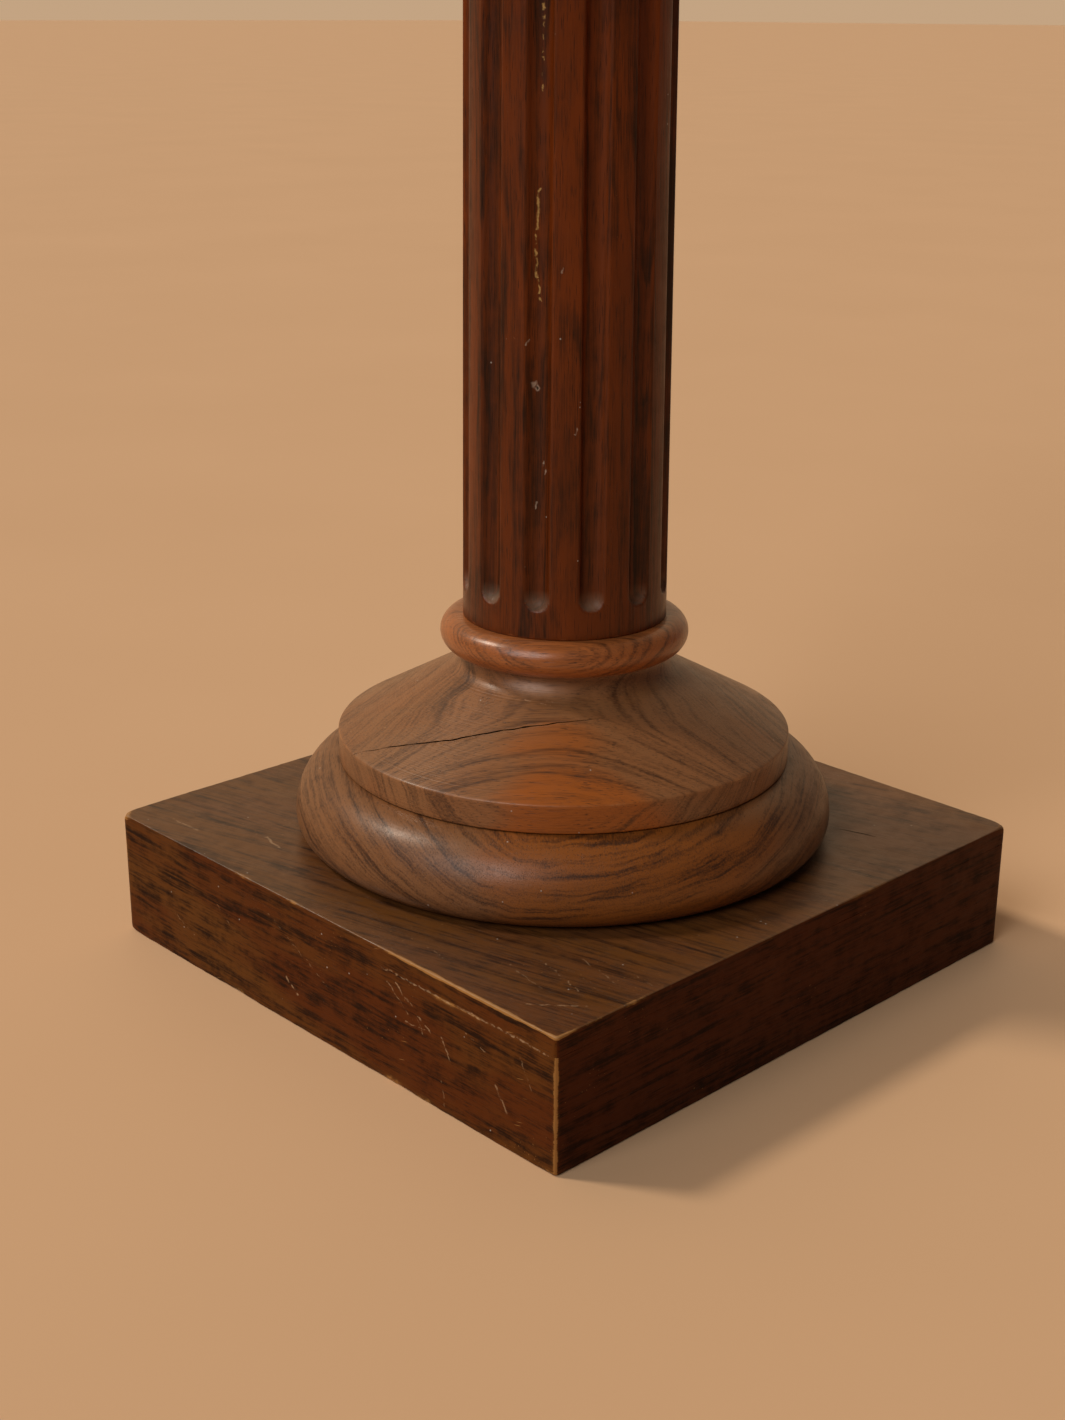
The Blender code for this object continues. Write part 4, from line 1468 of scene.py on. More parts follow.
@dataclass
class Plinth:
    """The boxed plinth: a thin board on four mitred rails."""

    corners: SquareCorners = SquareCorners()
    rail_thickness: float = 20.0 * MM
    joint: float = 0.03 * MM

    def knocks(self) -> tuple[Knock, ...]:
        """The knocked corners and rubbed stretches of edge.

        Returns:
            The knocks, at the top and the floor.
        """
        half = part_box("plinth_top_board")[1][0]
        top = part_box("plinth_top_board")[1][2]
        return (
            Knock((half, -half, top), 8 * MM, 0.2 * MM, 0.6),
            Knock((-half, -half, top), 6 * MM, 2.2 * MM, 0.6),
            Knock((half, half, top), 8 * MM, 1.6 * MM, 0.4),
            Knock((-half, half, top), 7 * MM, 1.8 * MM, 0.5),
            Knock((half * 0.70, -half, top), 30 * MM, 0.1 * MM, 0.16),
            Knock((half * 0.2, -half, top), 20 * MM, 0.1 * MM, 0.14),
            Knock((-half * 0.25, -half, top), 35 * MM, 0.2 * MM, 0.12),
            Knock((-half * 0.4, -half, 0.0), 12 * MM, 0.6 * MM, 0.35),
            Knock((half * 0.35, -half, 0.0), 14 * MM, 0.6 * MM, 0.35),
            Knock((half, half * 0.2, top), 18 * MM, 0.4 * MM, 0.1),
            Knock((half * 0.66, -half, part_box("plinth_top_board")[0][2]), 45 * MM, 0.15 * MM, 1.2),
            Knock((half, -half, 0.0), 9 * MM, 1.0 * MM, 0.5),
            Knock((-half, -half, 0.0), 8 * MM, 1.2 * MM, 0.3),
        )

    def board(self, top: bpy.types.Material, front: bpy.types.Material, side: bpy.types.Material,
              ) -> bpy.types.Object:
        """Makes the board on top of the rails, with edges in the rails' finishes.

        Args:
            top: Wood of its faces.
            front: Wood of its front and back edges.
            side: Wood of its two side edges, darker as painted shade.

        Returns:
            The board.
        """
        knocks = self.knocks()
        board = Board("plinth_top_board", "plinth_board", self.corners,
                      BoardEdge(1, 0.75 * MM, 0.5, knocks, rub=0.34),
                      BoardEdge(2, 0.12 * MM, 0.5, knocks, rub=-0.6))
        obj = new_object(board.name, board.mesh())
        for finish in (top, front, side):
            obj.data.materials.append(finish)
        for face in obj.data.polygons:
            if abs(face.normal.z) < 0.6:
                face.material_index = 1 + int(abs(face.normal.x) > abs(face.normal.y))
        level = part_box("plinth_top_board")[1][2]
        path = ((0.100, 0.089, level), (0.109, 0.092, level), (0.118, 0.094, level))
        Crack(path, width=0.8 * MM, depth=2.0 * MM, seed=5).cut(obj)
        return keep(obj, "plinth_wood", "plinth_top_board")

    def rail_plan(self, half: float, quarter: int) -> tuple[np.ndarray, np.ndarray]:
        """A rail seen from above, before it is turned to its side.

        Args:
            half: Half the plinth's side.
            quarter: Which side the rail is for, in quarter turns from the front.

        Returns:
            The outline's points and the direction in which each one's edge is softened, nothing
            at the inner side.
        """
        left, right = self.corners.radii[quarter], self.corners.radii[(quarter + 1) % 4]
        start, end, inner = -half + left, half - right, half - self.rail_thickness
        gap = self.joint * math.sqrt(0.5)
        out: list[tuple[float, float]] = []
        push: list[tuple[float, float]] = []

        def quadrant(middle_x: float, radius: float, angles: list[float]) -> None:
            """Adds the half of a rounded corner that is on this rail.

            Args:
                middle_x: The corner circle's middle along the rail.
                radius: The corner circle's radius.
                angles: Directions of its points, in degrees.
            """
            for angle in angles:
                across, along = math.cos(math.radians(angle)), math.sin(math.radians(angle))
                out.append((middle_x + radius * across, -half + radius + radius * along))
                push.append((across, along))

        quadrant(start, left, [-135, -123, -112, -101])
        count = round((end - start) / EDGE_STEP)
        for k in range(count + 1):
            out.append((start + (end - start) * k / count, -half))
            push.append((0.0, -1.0))
        quadrant(end, right, [-79, -68, -57, -45])
        out[0] = (out[0][0] + gap, out[0][1])
        out[-1] = (out[-1][0] - gap, out[-1][1])
        outline = out + [(inner - gap, -inner), (-inner + gap, -inner)]
        return np.array(outline), np.array(push + [(0.0, 0.0), (0.0, 0.0)])

    def rail(self, side: str, quarter: int, finish: bpy.types.Material) -> bpy.types.Object:
        """Makes one rail.

        Args:
            side: Which side of the plinth it closes.
            quarter: Quarter turns from the front.
            finish: Its material.

        Returns:
            The rail.
        """
        low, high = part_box("plinth_rail_front")
        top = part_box("plinth_top_board")[0][2] - self.joint
        half = -low[1]
        outline, push = self.rail_plan(half, quarter)
        turn = Matrix.Rotation(math.radians(90 * quarter), 3, "Z")
        spin = np.array(turn)
        level = np.ones(len(outline))
        outer = np.linalg.norm(push, axis=1) > 0.5
        reach = np.array([self.corners.radii[(quarter + int(x > 0)) % 4] for x in outline[:, 0]])
        near_corner = np.clip(1.35 - (half - np.abs(outline[:, 0])) / reach, 0, 1) * outer
        edges = {
            0.0: BoardEdge(3 + quarter, 0.8 * MM, 0.5, self.knocks(), rub=0.15),
            top: BoardEdge(7 + quarter, 0.12 * MM, 0.5, self.knocks(), rub=-0.6),
        }
        rows, rubs = [], []
        found = {}
        for height, edge in edges.items():
            places = np.column_stack([outline, level * height]) @ spin.T
            found[height] = edge.bites(places)
        (foot, foot_rub), (head, head_rub) = found[0.0], found[top]
        upright = BoardEdge(11 + quarter, 1.0 * MM, 0.5, self.knocks(), rub=0.35)

        def ring(inset: np.ndarray, height: np.ndarray, rub: np.ndarray) -> None:
            """Adds one ring, moved in from the outline.

            Args:
                inset: How far each point is moved in.
                height: Its height.
                rub: How rubbed it is.
            """
            flat = outline - push * inset[:, None]
            points = np.column_stack([flat, height]) @ spin.T
            _, corner_rub = upright.bites(points)
            rows.append(points)
            rubs.append(np.maximum(rub * outer, near_corner * (0.5 + 0.75 * corner_rub)))

        for k in range(6):
            a = math.radians(18 * k)
            ring(foot * (1 - math.sin(a)), foot * (1 - math.cos(a)), foot_rub)
        for share in np.linspace(0.04, 0.96, 22):
            fade = np.maximum(foot_rub * max(0, 1 - share * 14), head_rub * max(0, share * 14 - 13))
            ring(level * 0.0, foot + (top - head - foot) * share, fade)
        for k in range(6):
            a = math.radians(18 * k)
            ring(head * (1 - math.cos(a)), top - head * (1 - math.sin(a)), head_rub)
        name = f"{side}_rail"
        mesh = loft(name, np.array(rows), looped=False)
        mesh.set_sharp_from_angle(angle=math.radians(38))
        add_attributes(mesh, rubbed=np.array(rubs), **clean(mesh))
        obj = new_object(name, mesh)
        mesh.materials.append(finish)
        return keep(obj, "plinth_wood", f"plinth_rail_{side}")

    def inside(self, finish: bpy.types.Material) -> None:
        """Dresses the glue blocks, the bearer and the dowels, whose frame shapes stay.

        Args:
            finish: The unfinished wood.
        """
        plain = [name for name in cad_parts
                 if name.startswith(("corner_block", "tie_rod_bearer", "disc_dowel"))]
        for name in plain:
            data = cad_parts[name].data
            data.materials.clear()
            data.materials.append(finish)
            LOG.info("%s: dressed", name)


@dataclass
class Head:
    """The neck bead, the capital and the square top."""

    shop: TurningShop
    bore: float = 6.5 * MM
    socket: float = 25.3 * MM
    socket_depth: float = 17.3 * MM
    neck: float = 42.5 * MM
    sweep: float = 9.5 * MM
    rim: float = 12.0 * MM
    pocket: float = 18.0 * MM
    pocket_depth: float = 13.0 * MM
    facets: int = 288
    bead_facets: int = 208
    shrink_angle: float = 0.3

    def bead(self, finish: bpy.types.Material) -> bpy.types.Object:
        """Turns the half-round ring round the shaft's head.

        Args:
            finish: Its wood.

        Returns:
            The bead.
        """
        low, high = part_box("neck_bead")
        half = (high[2] - low[2]) / 2
        corners = arc((high[0] - half, half), (half, half), 90, -90, 24)
        corners += [(self.socket, 0.0, 0.0), (self.socket, 2 * half, 0.0)]
        corners = [(r, z + low[2], soft) for r, z, soft in corners]
        obj = self.shop.turn("neck_ring", corners, finish, self.bead_facets, self.shrink_angle)
        settle(obj)
        return keep(obj, "bead_wood", "neck_bead")

    def capital(self, finish: bpy.types.Material) -> bpy.types.Object:
        """Turns the flared disc that carries the top.

        Args:
            finish: Its wood.

        Returns:
            The capital.
        """
        low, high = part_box("capital")
        height = high[2] - low[2]
        down = flare(self.neck, self.sweep, high[0], self.rim, height, 0.9 * MM)
        down += [(high[0], 0.0, 0.7 * MM)]
        corners = [(r, height - z, soft) for r, z, soft in reversed(down)]
        corners += [
            (self.socket, 0.0, 0.0), (self.socket, self.socket_depth, 0.0),
            (self.bore, self.socket_depth, 0.0), (self.bore, height - self.pocket_depth, 0.0),
            (self.pocket, height - self.pocket_depth, 0.0), (self.pocket, height, 0.0),
        ]
        corners = [(r, z + low[2], soft) for r, z, soft in corners]
        obj = self.shop.turn("capital_disc", corners, finish, self.facets, self.shrink_angle)
        settle(obj)
        return keep(obj, "disc_wood", "capital")

    def top(self, finish: bpy.types.Material) -> bpy.types.Object:
        """Makes the square top.

        Args:
            finish: Its wood.

        Returns:
            The top.
        """
        low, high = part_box("top_board")
        half = high[0]
        knocks = (
            Knock((half, -half, high[2]), 7 * MM, 1.4 * MM, 0.6),
            Knock((-half, half, high[2]), 9 * MM, 1.8 * MM, 0.6),
            Knock((-half, -half, high[2]), 6 * MM, 0.8 * MM, 0.4),
            Knock((half, half, low[2]), 9 * MM, 1.0 * MM, 0.4),
            Knock((0.0, -half, high[2]), 35 * MM, 0.5 * MM, 0.3),
        )
        board = Board("top_board", "square_top", SquareCorners((4 * MM,) * 4),
                      BoardEdge(21, 1.6 * MM, 0.4, knocks, rub=0.45),
                      BoardEdge(22, 1.1 * MM, 0.5, knocks, rub=0.4))
        obj = new_object(board.name, board.mesh())
        obj.data.materials.append(finish)
        return keep(obj, "plinth_wood", "top_board")


# Metal work


@dataclass
class Clamp:
    """The tie rod with its nuts and washers, and the wood screws."""

    copies: ShapeTree = field(default_factory=ring_of_copies_tree)
    rod_radius: float = 5.0 * MM
    thread: float = 1.5 * MM
    threaded: float = 45.0 * MM
    flats: float = 17.0 * MM
    bore: float = 5.3 * MM
    base_circle: float = 85.0 * MM
    top_circle: float = 72.0 * MM
    screw_length: float = 32.0 * MM
    screw_head: float = 4.0 * MM
    screw_core: float = 1.45 * MM
    screw_thread: float = 2.0 * MM
    screw_pitch: float = 1.4 * MM

    @staticmethod
    def threaded_rows(radius: float, core: float, pitch: float, heights: np.ndarray,
                      around: int) -> np.ndarray:
        """Rings that follow a thread.

        Args:
            radius: The thread's crest.
            core: The thread's root.
            pitch: Height of one turn.
            heights: Height of each ring.
            around: Points in a ring.

        Returns:
            The rings.
        """
        angles = np.arange(around) * math.tau / around
        turns = heights[:, None] / pitch - angles[None, :] / math.tau
        ridge = 1 - np.abs(2 * (turns % 1.0) - 1)
        size = core + (radius - core) * ridge
        return np.stack([size * np.cos(angles), size * np.sin(angles),
                         np.repeat(heights[:, None], around, 1)], -1)

    def rod(self, finish: bpy.types.Material) -> bpy.types.Object:
        """Makes the rod, threaded at both ends and plain between.

        Args:
            finish: Its metal.

        Returns:
            The rod.
        """
        low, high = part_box("tie_rod")
        around = 24
        step = self.thread / 6
        ends = np.arange(0.8 * MM, self.threaded, step)
        core = self.rod_radius - 0.9 * MM
        foot = self.threaded_rows(self.rod_radius, core, self.thread, ends, around)
        head = foot.copy()
        foot[:, :, 2] += low[2]
        head[:, :, 2] = high[2] - head[::-1, :, 2]
        shrunk = foot[0] * [0.8, 0.8, 0] + [0, 0, low[2]]
        crown = head[-1] * [0.8, 0.8, 0] + [0, 0, high[2]]
        angles = np.arange(around) * math.tau / around
        plain = self.rod_radius - 0.35 * MM
        ring = np.stack([plain * np.cos(angles), plain * np.sin(angles), 0 * angles], -1)
        shank = [ring + [0, 0, h] for h in (foot[-1, 0, 2] + 1 * MM, head[0, 0, 2] - 1 * MM)]
        rows = np.concatenate([[shrunk], foot, shank, head, [crown]])
        mesh = loft("rod", rows, looped=False)
        mesh.materials.append(finish)
        return keep(new_object("rod", mesh), "plated_steel", "tie_rod")

    def nut(self, node: str, finish: bpy.types.Material) -> bpy.types.Object:
        """Makes a hexagonal nut with chamfered corners.

        Args:
            node: The CAD nut that it stands for.
            finish: Its metal.

        Returns:
            The nut.
        """
        low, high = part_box(node)
        around = 72
        angles = np.arange(around) * math.tau / around
        sixth = (angles + math.pi / 6) % (math.pi / 3) - math.pi / 6
        hexagon = self.flats / 2 / np.cos(sixth)
        height, face = high[2] - low[2], self.flats / 2 - 0.2 * MM
        levels = [(0.0, face), (0.5 * MM, face + 0.75 * MM), (1.0 * MM, 1.0),
                  (height - 1.0 * MM, 1.0), (height - 0.5 * MM, face + 0.75 * MM), (height, face)]
        rings = [(np.minimum(hexagon, limit), z) for z, limit in levels]
        rings += [(angles * 0 + self.bore + 0.5 * MM, height),
                  (angles * 0 + self.bore, height - 0.5 * MM),
                  (angles * 0 + self.bore, 0.5 * MM), (angles * 0 + self.bore + 0.5 * MM, 0.0)]
        rows = [np.stack([r * np.cos(angles), r * np.sin(angles), angles * 0 + z + low[2]], -1)
                for r, z in rings]
        mesh = loft(f"hexagon_{node}", np.array(rows), looped=True)
        mesh.set_sharp_from_angle(angle=math.radians(25))
        mesh.materials.append(finish)
        return keep(new_object(f"hexagon_{node}", mesh), "plated_steel", node)

    def washer(self, shop: TurningShop, node: str, finish: bpy.types.Material,
               ) -> bpy.types.Object:
        """Makes a flat washer with stamped, rounded edges.

        Args:
            shop: Where it is turned.
            node: The CAD washer that it stands for.
            finish: Its metal.

        Returns:
            The washer.
        """
        low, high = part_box(node)
        edge = 0.4 * MM
        corners = [(high[0], high[2], edge), (high[0], low[2], edge),
                   (self.bore, low[2], edge), (self.bore, high[2], edge)]
        obj = shop.turn(f"flat_{node}", corners, finish, 72, 0.0, 0.0)
        settle(obj)
        return keep(obj, "plated_steel", node)

    def screw_mesh(self) -> bpy.types.Mesh:
        """One wood screw standing on its head: flat head, countersink, thread and point.

        Returns:
            The mesh, at the origin.
        """
        around = 20
        angles = np.arange(around) * math.tau / around
        disc = np.stack([np.cos(angles), np.sin(angles), 0 * angles], -1)
        head = [disc * [r, r, 0] + [0, 0, z] for r, z in (
            (self.screw_head - 0.3 * MM, 0.0), (self.screw_head, 0.3 * MM),
            (self.screw_head, 0.8 * MM), (self.screw_core + 0.4 * MM, 3.0 * MM),
            (self.screw_core + 0.3 * MM, 9.0 * MM))]
        heights = np.arange(10 * MM, self.screw_length - 0.5 * MM, self.screw_pitch / 5)
        body = self.threaded_rows(self.screw_thread, self.screw_core, self.screw_pitch, heights,
                                  around)
        point = np.clip((self.screw_length - heights) / (6 * MM), 0.05, 1.0)
        body[:, :, :2] *= point[:, None, None]
        tip = disc * [0.05 * MM, 0.05 * MM, 0] + [0, 0, self.screw_length]
        mesh = loft("wood_screw", np.concatenate([head, body, [tip]]), looped=False)
        mesh.set_sharp_from_angle(angle=math.radians(35))
        return mesh

    def screws(self, name: str, nodes: tuple[str, ...], circle: float,
               finish: bpy.types.Material) -> bpy.types.Object:
        """Sets four screws on a circle.

        Args:
            name: The group's name.
            nodes: The CAD nodes of the screws.
            circle: The circle's radius.
            finish: Their material.

        Returns:
            The group.
        """
        obj = new_object(name, self.screw_mesh())
        self.copies.on(obj, Count=len(nodes), Circle=circle, Height=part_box(nodes[0])[0][2],
                       First_Angle=math.radians(45), Material=finish)
        settle(obj)
        return keep(obj, "plated_steel", *nodes)

    def build(self, shop: TurningShop, finish: bpy.types.Material) -> None:
        """Makes all the metal pieces.

        Args:
            shop: Where the washers are turned.
            finish: The metal.
        """
        self.rod(finish)
        for node in ("nut_lower", "nut_upper"):
            self.nut(node, finish)
        for node in ("washer_lower", "washer_upper"):
            self.washer(shop, node, finish)
        self.screws("base_screws", tuple(f"base_screw_{k}" for k in range(1, 5)),
                    self.base_circle, finish)
        self.screws("top_screws", tuple(f"top_screw_{k}" for k in range(1, 5)),
                    self.top_circle, finish)


# Studio


@dataclass
class Studio:
    """The pale floor, the soft lights and the camera."""

    eye: Point = (2.0453, -2.0223, 1.4187)
    heading: float = 136.285
    tilt: float = -19.727
    roll: float = 0.292
    lens: float = 49.573
    floor_side: float = 120.0
    room: Colour = (0.075, 0.068, 0.062)
    backdrop: Colour = (0.55, 0.37, 0.225)
    backdrop_side: tuple[float, float] = (152, 14)
    floor_darker: Colour = (0.70, 0.45, 0.26)
    floor_paler: Colour = (0.75, 0.49, 0.29)

    def floor(self) -> None:
        """Lays the floor."""
        half = self.floor_side / 2
        mesh = bpy.data.meshes.new("floor")
        mesh.from_pydata([(-half, -half, 0), (half, -half, 0), (half, half, 0), (-half, half, 0)],
                         [], [(0, 1, 2, 3)])
        floor = new_object("floor", mesh)
        material = bpy.data.materials.new("pale_floor")
        material.use_nodes = True
        s = Sketch(material.node_tree)
        shader = s.tree.nodes["Principled BSDF"]
        coords = s.add("ShaderNodeTexCoord").outputs["Object"]
        soft = s.noise(coords, 3.0, 3.0)
        s.feed(shader.inputs["Base Color"], s.mix(soft, self.floor_darker, self.floor_paler))
        shader.inputs["Roughness"].default_value = 0.6
        mesh.materials.append(material)

    @staticmethod
    def direction(azimuth: float, elevation: float) -> Vector:
        """The unit vector towards an azimuth from +X and an elevation, both in degrees."""
        a, e = math.radians(azimuth), math.radians(elevation)
        return Vector((math.cos(a) * math.cos(e), math.sin(a) * math.cos(e), math.sin(e)))

    def light(self, name: str, azimuth: float, elevation: float, spread: float, power: float,
              colour: Colour) -> None:
        """Adds one distant soft light.

        Args:
            name: The light's name.
            azimuth: Its direction from the column, in degrees from +X.
            elevation: Its height above the floor, in degrees.
            spread: How wide it looks from the column, in degrees.
            power: Its strength.
            colour: Its colour.
        """
        data = bpy.data.lights.new(name, "SUN")
        data.angle = math.radians(spread)
        data.energy = power
        data.color = colour
        obj = bpy.data.objects.new(name, data)
        toward = self.direction(azimuth, elevation)
        obj.rotation_euler = toward.to_track_quat("Z", "Y").to_euler()
        bpy.context.scene.collection.objects.link(obj)

    def surroundings(self) -> None:
        """Makes the dim room, paler on the side where a cream backdrop would hang."""
        world = bpy.data.worlds.new("studio")
        world.use_nodes = True
        s = Sketch(world.node_tree)
        background = world.node_tree.nodes["Background"]
        toward = s.add("ShaderNodeTexCoord").outputs["Generated"]
        facing = s.vector("DOT_PRODUCT", toward, tuple(self.direction(*self.backdrop_side)))
        behind = s.step(facing, 0.25, 0.85)
        s.feed(background.inputs["Color"], s.mix(behind, self.room, self.backdrop))
        bpy.context.scene.world = world

    def camera(self) -> None:
        """Sets up the camera from its place in plinth sides and its three angles."""
        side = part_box("plinth_top_board")[1][0] * 2
        yaw, pitch, roll = (math.radians(v) for v in (self.heading, self.tilt, self.roll))
        ahead = Vector((math.cos(pitch) * math.cos(yaw), math.cos(pitch) * math.sin(yaw),
                        math.sin(pitch)))
        level = ahead.cross(Vector((0, 0, 1))).normalized()
        above = level.cross(ahead)
        right = level * math.cos(roll) + above * math.sin(roll)
        up = above * math.cos(roll) - level * math.sin(roll)
        data = bpy.data.cameras.new("camera")
        data.sensor_width = 36.0
        data.lens = self.lens
        data.clip_start = 0.02
        camera = bpy.data.objects.new("camera", data)
        turn = Matrix((right, up, -ahead)).transposed().to_4x4()
        camera.matrix_world = Matrix.Translation(Vector(self.eye) * side) @ turn
        bpy.context.scene.collection.objects.link(camera)
        bpy.context.scene.camera = camera

    def build(self) -> None:
        """Makes the whole studio."""
        self.floor()
        self.light("lamp", -147, 47, 9, 1.35, (1.0, 0.86, 0.70))
        self.light("window", -84, 38, 34, 1.35, (1.0, 0.95, 0.91))
        self.surroundings()
        bpy.context.scene.view_settings.view_transform = "Standard"
        self.camera()


def shaft_marks() -> tuple[Mark, ...]:
    """The pale filler in the crack up one flute of the shaft, and some light knocks, one a chip with
    painted shade inside it.

    Returns:
        The marks.
    """
    shaft = FlutedShaft
    filler = (0.56, 0.36, 0.12)
    stretches = (
        (-60.4, 0.400, -60.0, 0.435, 0.60), (-60.0, 0.435, -58.6, 0.520, 0.60),
        (-58.6, 0.520, -57.5, 0.640, 0.62), (-61.0, 0.362, -63.4, 0.344, 0.47),
        (-63.4, 0.344, -62.4, 0.326, 0.47), (-62.4, 0.326, -60.2, 0.316, 0.47),
    )
    found = [
        Mark(shaft.place(a, low), shaft.place(b, high), 0.7 * MM, 0.8, filler, gaps)
        for a, low, b, high, gaps in stretches
    ]
    pale = (0.40, 0.31, 0.24)
    spots = ((-64.5, 0.281), (-58.0, 0.247), (-67.0, 0.299), (-40.0, 0.262), (-57.0, 0.243),
             (-63.0, 0.228), (-48.0, 0.330))
    for azimuth, height in spots:
        start, end = shaft.place(azimuth, height - 0.001), shaft.place(azimuth + 1, height + 0.001)
        found.append(Mark(start, end, 0.7 * MM, 0.8, pale, 0.42))
    chip = shaft.place(-64.0, 0.281), shaft.place(-62.0, 0.279)
    found.append(Mark(*chip, 1.6 * MM, 0.9, pale, 0.4))
    # A dark painted shade inside the chip.
    found.append(Mark(*chip, 0.8 * MM, 0.95, (0.012, 0.006, 0.004), 0.3))
    return tuple(found)


def neck_highlight_marks() -> tuple[Mark, ...]:
    """A painted highlight on the disc's neck, crossed by pale lines painted as highlights along the
    turner's tool marks.

    Returns:
        The marks.
    """
    neck = TurnedBase.disc_neck + 1.5 * MM
    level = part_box("base_disc")[1][2]

    def at(azimuth: float, down: float) -> Point:
        """A place on the neck, an azimuth in degrees and a distance under the bead."""
        turn, radius = math.radians(azimuth), neck + down * 0.55
        return (radius * math.cos(turn), radius * math.sin(turn), level - down)

    # A broad painted highlight on the neck under the bead.
    found = [
        Mark(at(-71, 0.005), at(-45, 0.005), 8 * MM, 0.22, (0.50, 0.26, 0.13), 0.2),
        Mark(at(-64, 0.005), at(-54, 0.005), 6 * MM, 0.25, (0.60, 0.32, 0.17), 0.2),
    ]
    # Pale lines painted as highlights along the turning marks.
    for line in range(6):
        down = 0.0018 + 0.0019 * line
        found.append(Mark(at(-67 + line, down), at(-46 - line, down), 0.45 * MM, 0.4,
                          (0.62, 0.36, 0.2), 0.42))
    return tuple(found)


def front_marks() -> tuple[Mark, ...]:
    """Scratches on the plinth's front: the split by the joint, and where a foot has kicked it.

    Returns:
        The marks.
    """
    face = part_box("plinth_rail_front")[0][1]
    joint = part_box("plinth_top_board")[0][2]
    strokes = (
        (0.045, 0.0, 0.148, 0.0, 1.0, 0.9), (0.047, 0.002, 0.064, 0.016, 0.7, 0.8),
        (0.056, 0.004, 0.078, 0.019, 0.9, 0.9), (0.062, 0.020, 0.080, 0.018, 0.7, 0.7),
        (0.068, 0.012, 0.073, 0.021, 0.8, 0.8), (0.085, 0.018, 0.090, 0.027, 1.1, 0.9),
        (-0.035, 0.002, 0.015, 0.027, 0.5, 0.6), (-0.021, 0.031, -0.013, 0.036, 1.3, 0.9),
        (0.118, 0.026, 0.124, 0.036, 1.3, 0.7), (0.085, 0.038, 0.087, 0.050, 0.7, 0.5),
        (-0.110, 0.030, -0.094, 0.036, 0.6, 0.5), (0.132, 0.008, 0.139, 0.020, 0.6, 0.5),
        (-0.075, 0.012, -0.060, 0.022, 0.5, 0.4), (0.100, 0.010, 0.112, 0.014, 0.6, 0.6),
    )
    return tuple(
        Mark((x, face, joint - down), (to_x, face, joint - to_down), width * 0.7 * MM,
             strength * 0.75, broken=0.5)
        for x, down, to_x, to_down, width, strength in strokes
    )


def board_marks() -> tuple[Mark, ...]:
    """Scuffs on top of the plinth, most of them by its corners.

    Returns:
        The marks.
    """
    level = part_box("plinth_top_board")[1][2]
    strokes = (
        (-0.080, -0.118, -0.066, -0.121, 1.2, 0.6), (-0.128, -0.138, -0.108, -0.137, 0.9, 0.4),
        (0.104, -0.112, 0.131, -0.119, 0.5, 0.5), (0.112, -0.098, 0.139, -0.104, 0.4, 0.4),
        (0.095, -0.124, 0.120, -0.129, 0.5, 0.4), (0.124, -0.142, 0.142, -0.126, 0.6, 0.6),
        (0.134, -0.092, 0.148, -0.095, 0.4, 0.4), (0.060, -0.138, 0.078, -0.141, 0.5, 0.4),
        (0.128, 0.052, 0.139, 0.061, 0.5, 0.4), (0.135, 0.010, 0.147, 0.022, 0.4, 0.3),
    )
    return tuple(
        Mark((x, y, level), (to_x, to_y, level), width * MM, strength, broken=0.46)
        for x, y, to_x, to_y, width, strength in strokes
    )


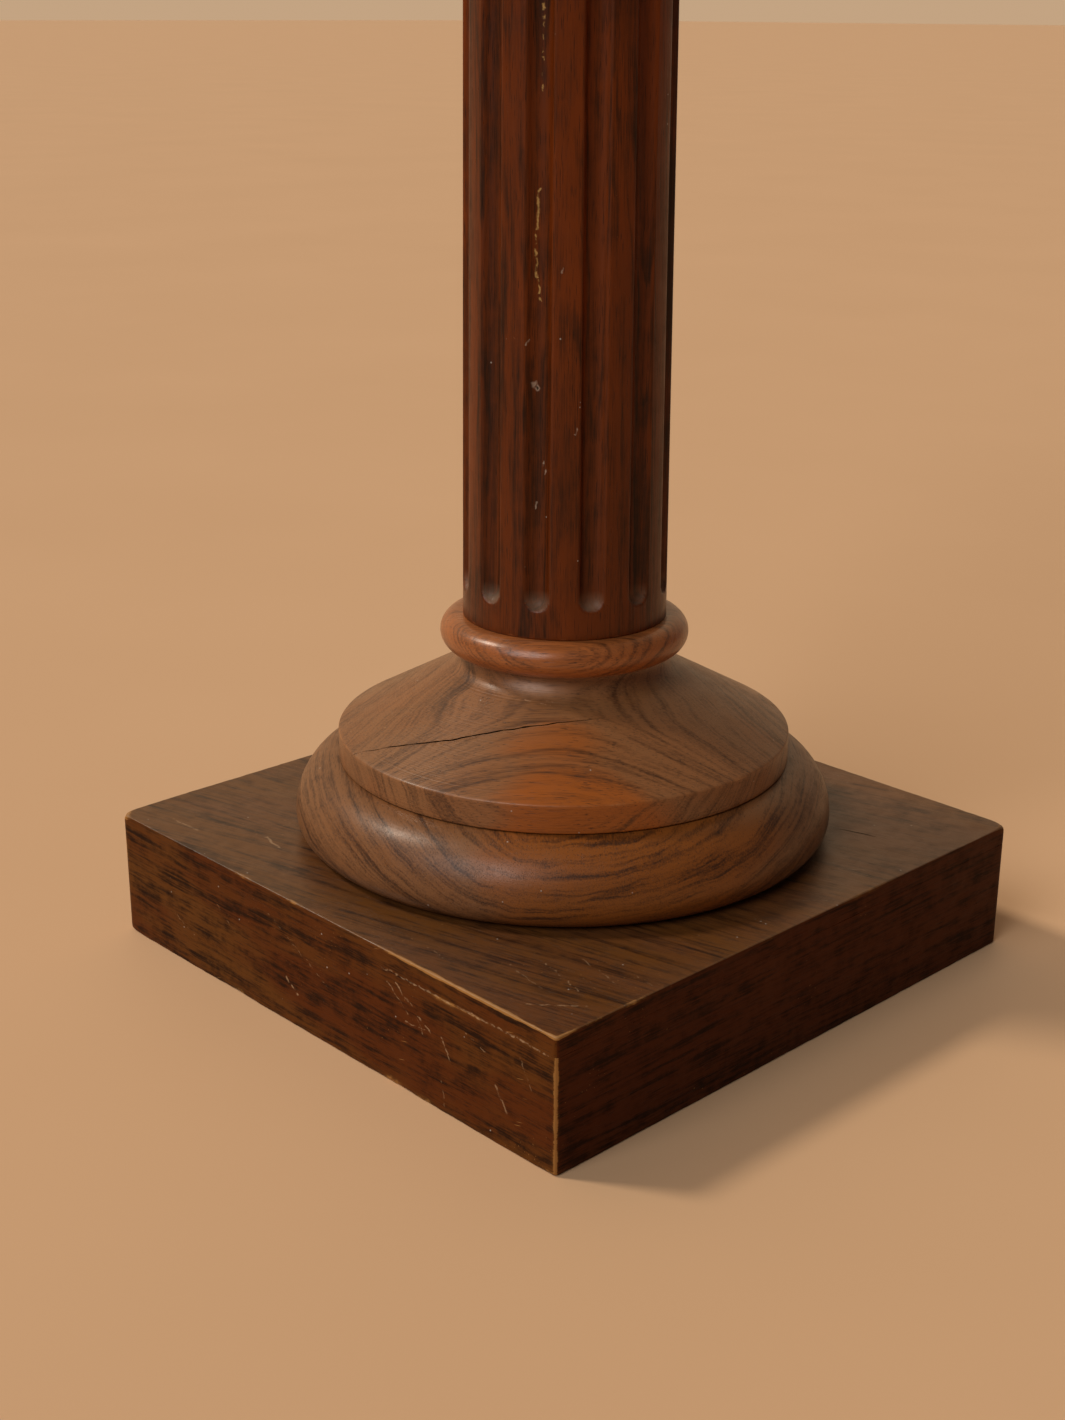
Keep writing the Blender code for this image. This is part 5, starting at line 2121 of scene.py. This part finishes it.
def finishes() -> dict[str, bpy.types.Material]:
    """Makes every finish.

    Returns:
        The materials by name.
    """
    plinth = {
        "early": (0.092, 0.021, 0.0025), "late": (0.018, 0.005, 0.0015),
        "glow": (0.130, 0.049, 0.008), "roughness": 0.55, "coat": 0.0, "rub": 0.5, "gloss": 0.09,
        "scuffs": 1.0, "dust": 1.0, "mottle": 1.9, "ring_strength": 0.2, "glow_share": 0.7,
        "strand_strength": 1.7, "bare": (0.44, 0.215, 0.062),
    }
    board = {**plinth, "gloss": 0.6, "roughness": 0.38, "early": (0.125, 0.046, 0.014),
             "mottle": 1.2, "streak_strength": 0.45, "scuffs": 3.0}
    woods = [
        WoodFinish("board_wood", Grain.NEARLY_LEFT_TO_RIGHT, (0.0, 0.05, -0.12),
                   marks=board_marks(), **board),
        WoodFinish("top_wood", Grain.LEFT_TO_RIGHT, (0.0, 0.03, 0.93),
                   **{**board, "mottle": 0.5, "ring_strength": 0.35, "scuffs": 1.2, "grime": 0.5}),
        WoodFinish("front_rail_wood", Grain.LEFT_TO_RIGHT, (0.0, 0.03, -0.09),
                   marks=front_marks(), **{**plinth, "scuffs": 2.6}),
        # The side rails are darker than the front and back ones: painted shade.
        WoodFinish("side_rail_painted_shade_wood", Grain.FRONT_TO_BACK, (0.04, 0.0, -0.1),
                   **{**plinth, "early": (0.075, 0.017, 0.004), "glow": (0.085, 0.021, 0.005)}),
        WoodFinish("torus_wood", Grain.CORNER_TO_CORNER, (0.012, 0.012, 0.215),
                   (0.205, 0.088, 0.032), (0.052, 0.018, 0.006), (0.25, 0.078, 0.013),
                   ring_width=2.6 * MM, ring_strength=0.2, streak_strength=0.55, roughness=0.42,
                   coat=0.12, glow_share=0.4, scuffs=0.25, dust=0.5, turning=0.2, rub=0.3,
                   mottle=0.7, strand_strength=1.9, glow_at=(0.115, -0.06, 0.09), glow_reach=0.09),
        WoodFinish("disc_wood", Grain.ON_THE_DIAGONAL, (-0.02, 0.03, 0.035),
                   (0.25, 0.112, 0.043), (0.066, 0.025, 0.009), (0.33, 0.092, 0.014),
                   ring_width=2.7 * MM, ring_strength=0.17, streak_strength=0.45, roughness=0.42,
                   coat=0.2, scuffs=0.5, dust=0.6, turning=0.8, rub=0.36, mottle=0.4,
                   strand_strength=1.8, grime=0.2, marks=neck_highlight_marks(),
                   glow_at=(0.078, -0.072, 0.115), glow_reach=0.056),
        WoodFinish("bead_wood", Grain.ON_THE_DIAGONAL, (0.0, 0.02, 0.1),
                   (0.36, 0.115, 0.03), (0.085, 0.028, 0.010), (0.40, 0.11, 0.018),
                   ring_width=2.6 * MM, ring_strength=0.14, roughness=0.33, coat=0.35,
                   glow_share=0.5, scuffs=0.15, dust=0.25, turning=0.25, rub=0.3, mottle=0.6,
                   strand_strength=1.5),
        WoodFinish("shaft_wood", Grain.UPRIGHT, (-0.05, 0.07, 0.0),
                   (0.120, 0.024, 0.003), (0.025, 0.0070, 0.002), (0.175, 0.034, 0.003),
                   ring_width=2.9 * MM, ring_strength=0.4, roughness=0.36, coat=0.07, gloss=0.2,
                   glow_share=0.7, scuffs=0.2, dust=0.35, rub=0.3, bare=(0.22, 0.065, 0.018),
                   mottle=0.7, strand_strength=1.8, marks=shaft_marks()),
        # A near-black painted shade for the walls of the cracks.
        WoodFinish("crack_shadow_wood", Grain.ON_THE_DIAGONAL, (0.0, 0.0, 0.0),
                   (0.020, 0.009, 0.004), (0.006, 0.003, 0.002), (0.025, 0.010, 0.004),
                   roughness=0.9, coat=0.0, gloss=0.0, scuffs=0.0, dust=0.0),
    ]
    made = {wood.name: wood.build() for wood in woods}
    made["raw_wood"] = RawWoodFinish().build()
    made["plated_steel"] = SteelFinish().build()
    return made


def main() -> None:
    """Builds the stand from the floor up, then the studio."""
    logging.basicConfig(level=logging.INFO, format="%(message)s")
    finish = finishes()
    plinth = Plinth()
    plinth.board(finish["board_wood"], finish["front_rail_wood"], finish["side_rail_painted_shade_wood"])
    for quarter, side in enumerate(("front", "right", "back", "left")):
        # The side rails take the darker wood: painted shade.
        wood = finish["side_rail_painted_shade_wood" if quarter % 2 else "front_rail_wood"]
        plinth.rail(side, quarter, wood)
    plinth.inside(finish["raw_wood"])
    shop = TurningShop()
    base = TurnedBase(shop)
    base.torus(finish["torus_wood"])
    base.disc(finish["disc_wood"])
    base.bead(finish["bead_wood"])
    FlutedShaft(shop).build(finish["shaft_wood"])
    head = Head(shop)
    head.bead(finish["bead_wood"])
    head.capital(finish["disc_wood"])
    head.top(finish["top_wood"])
    Clamp().build(shop, finish["plated_steel"])
    Studio().build()


if __name__ == "__main__":
    main()
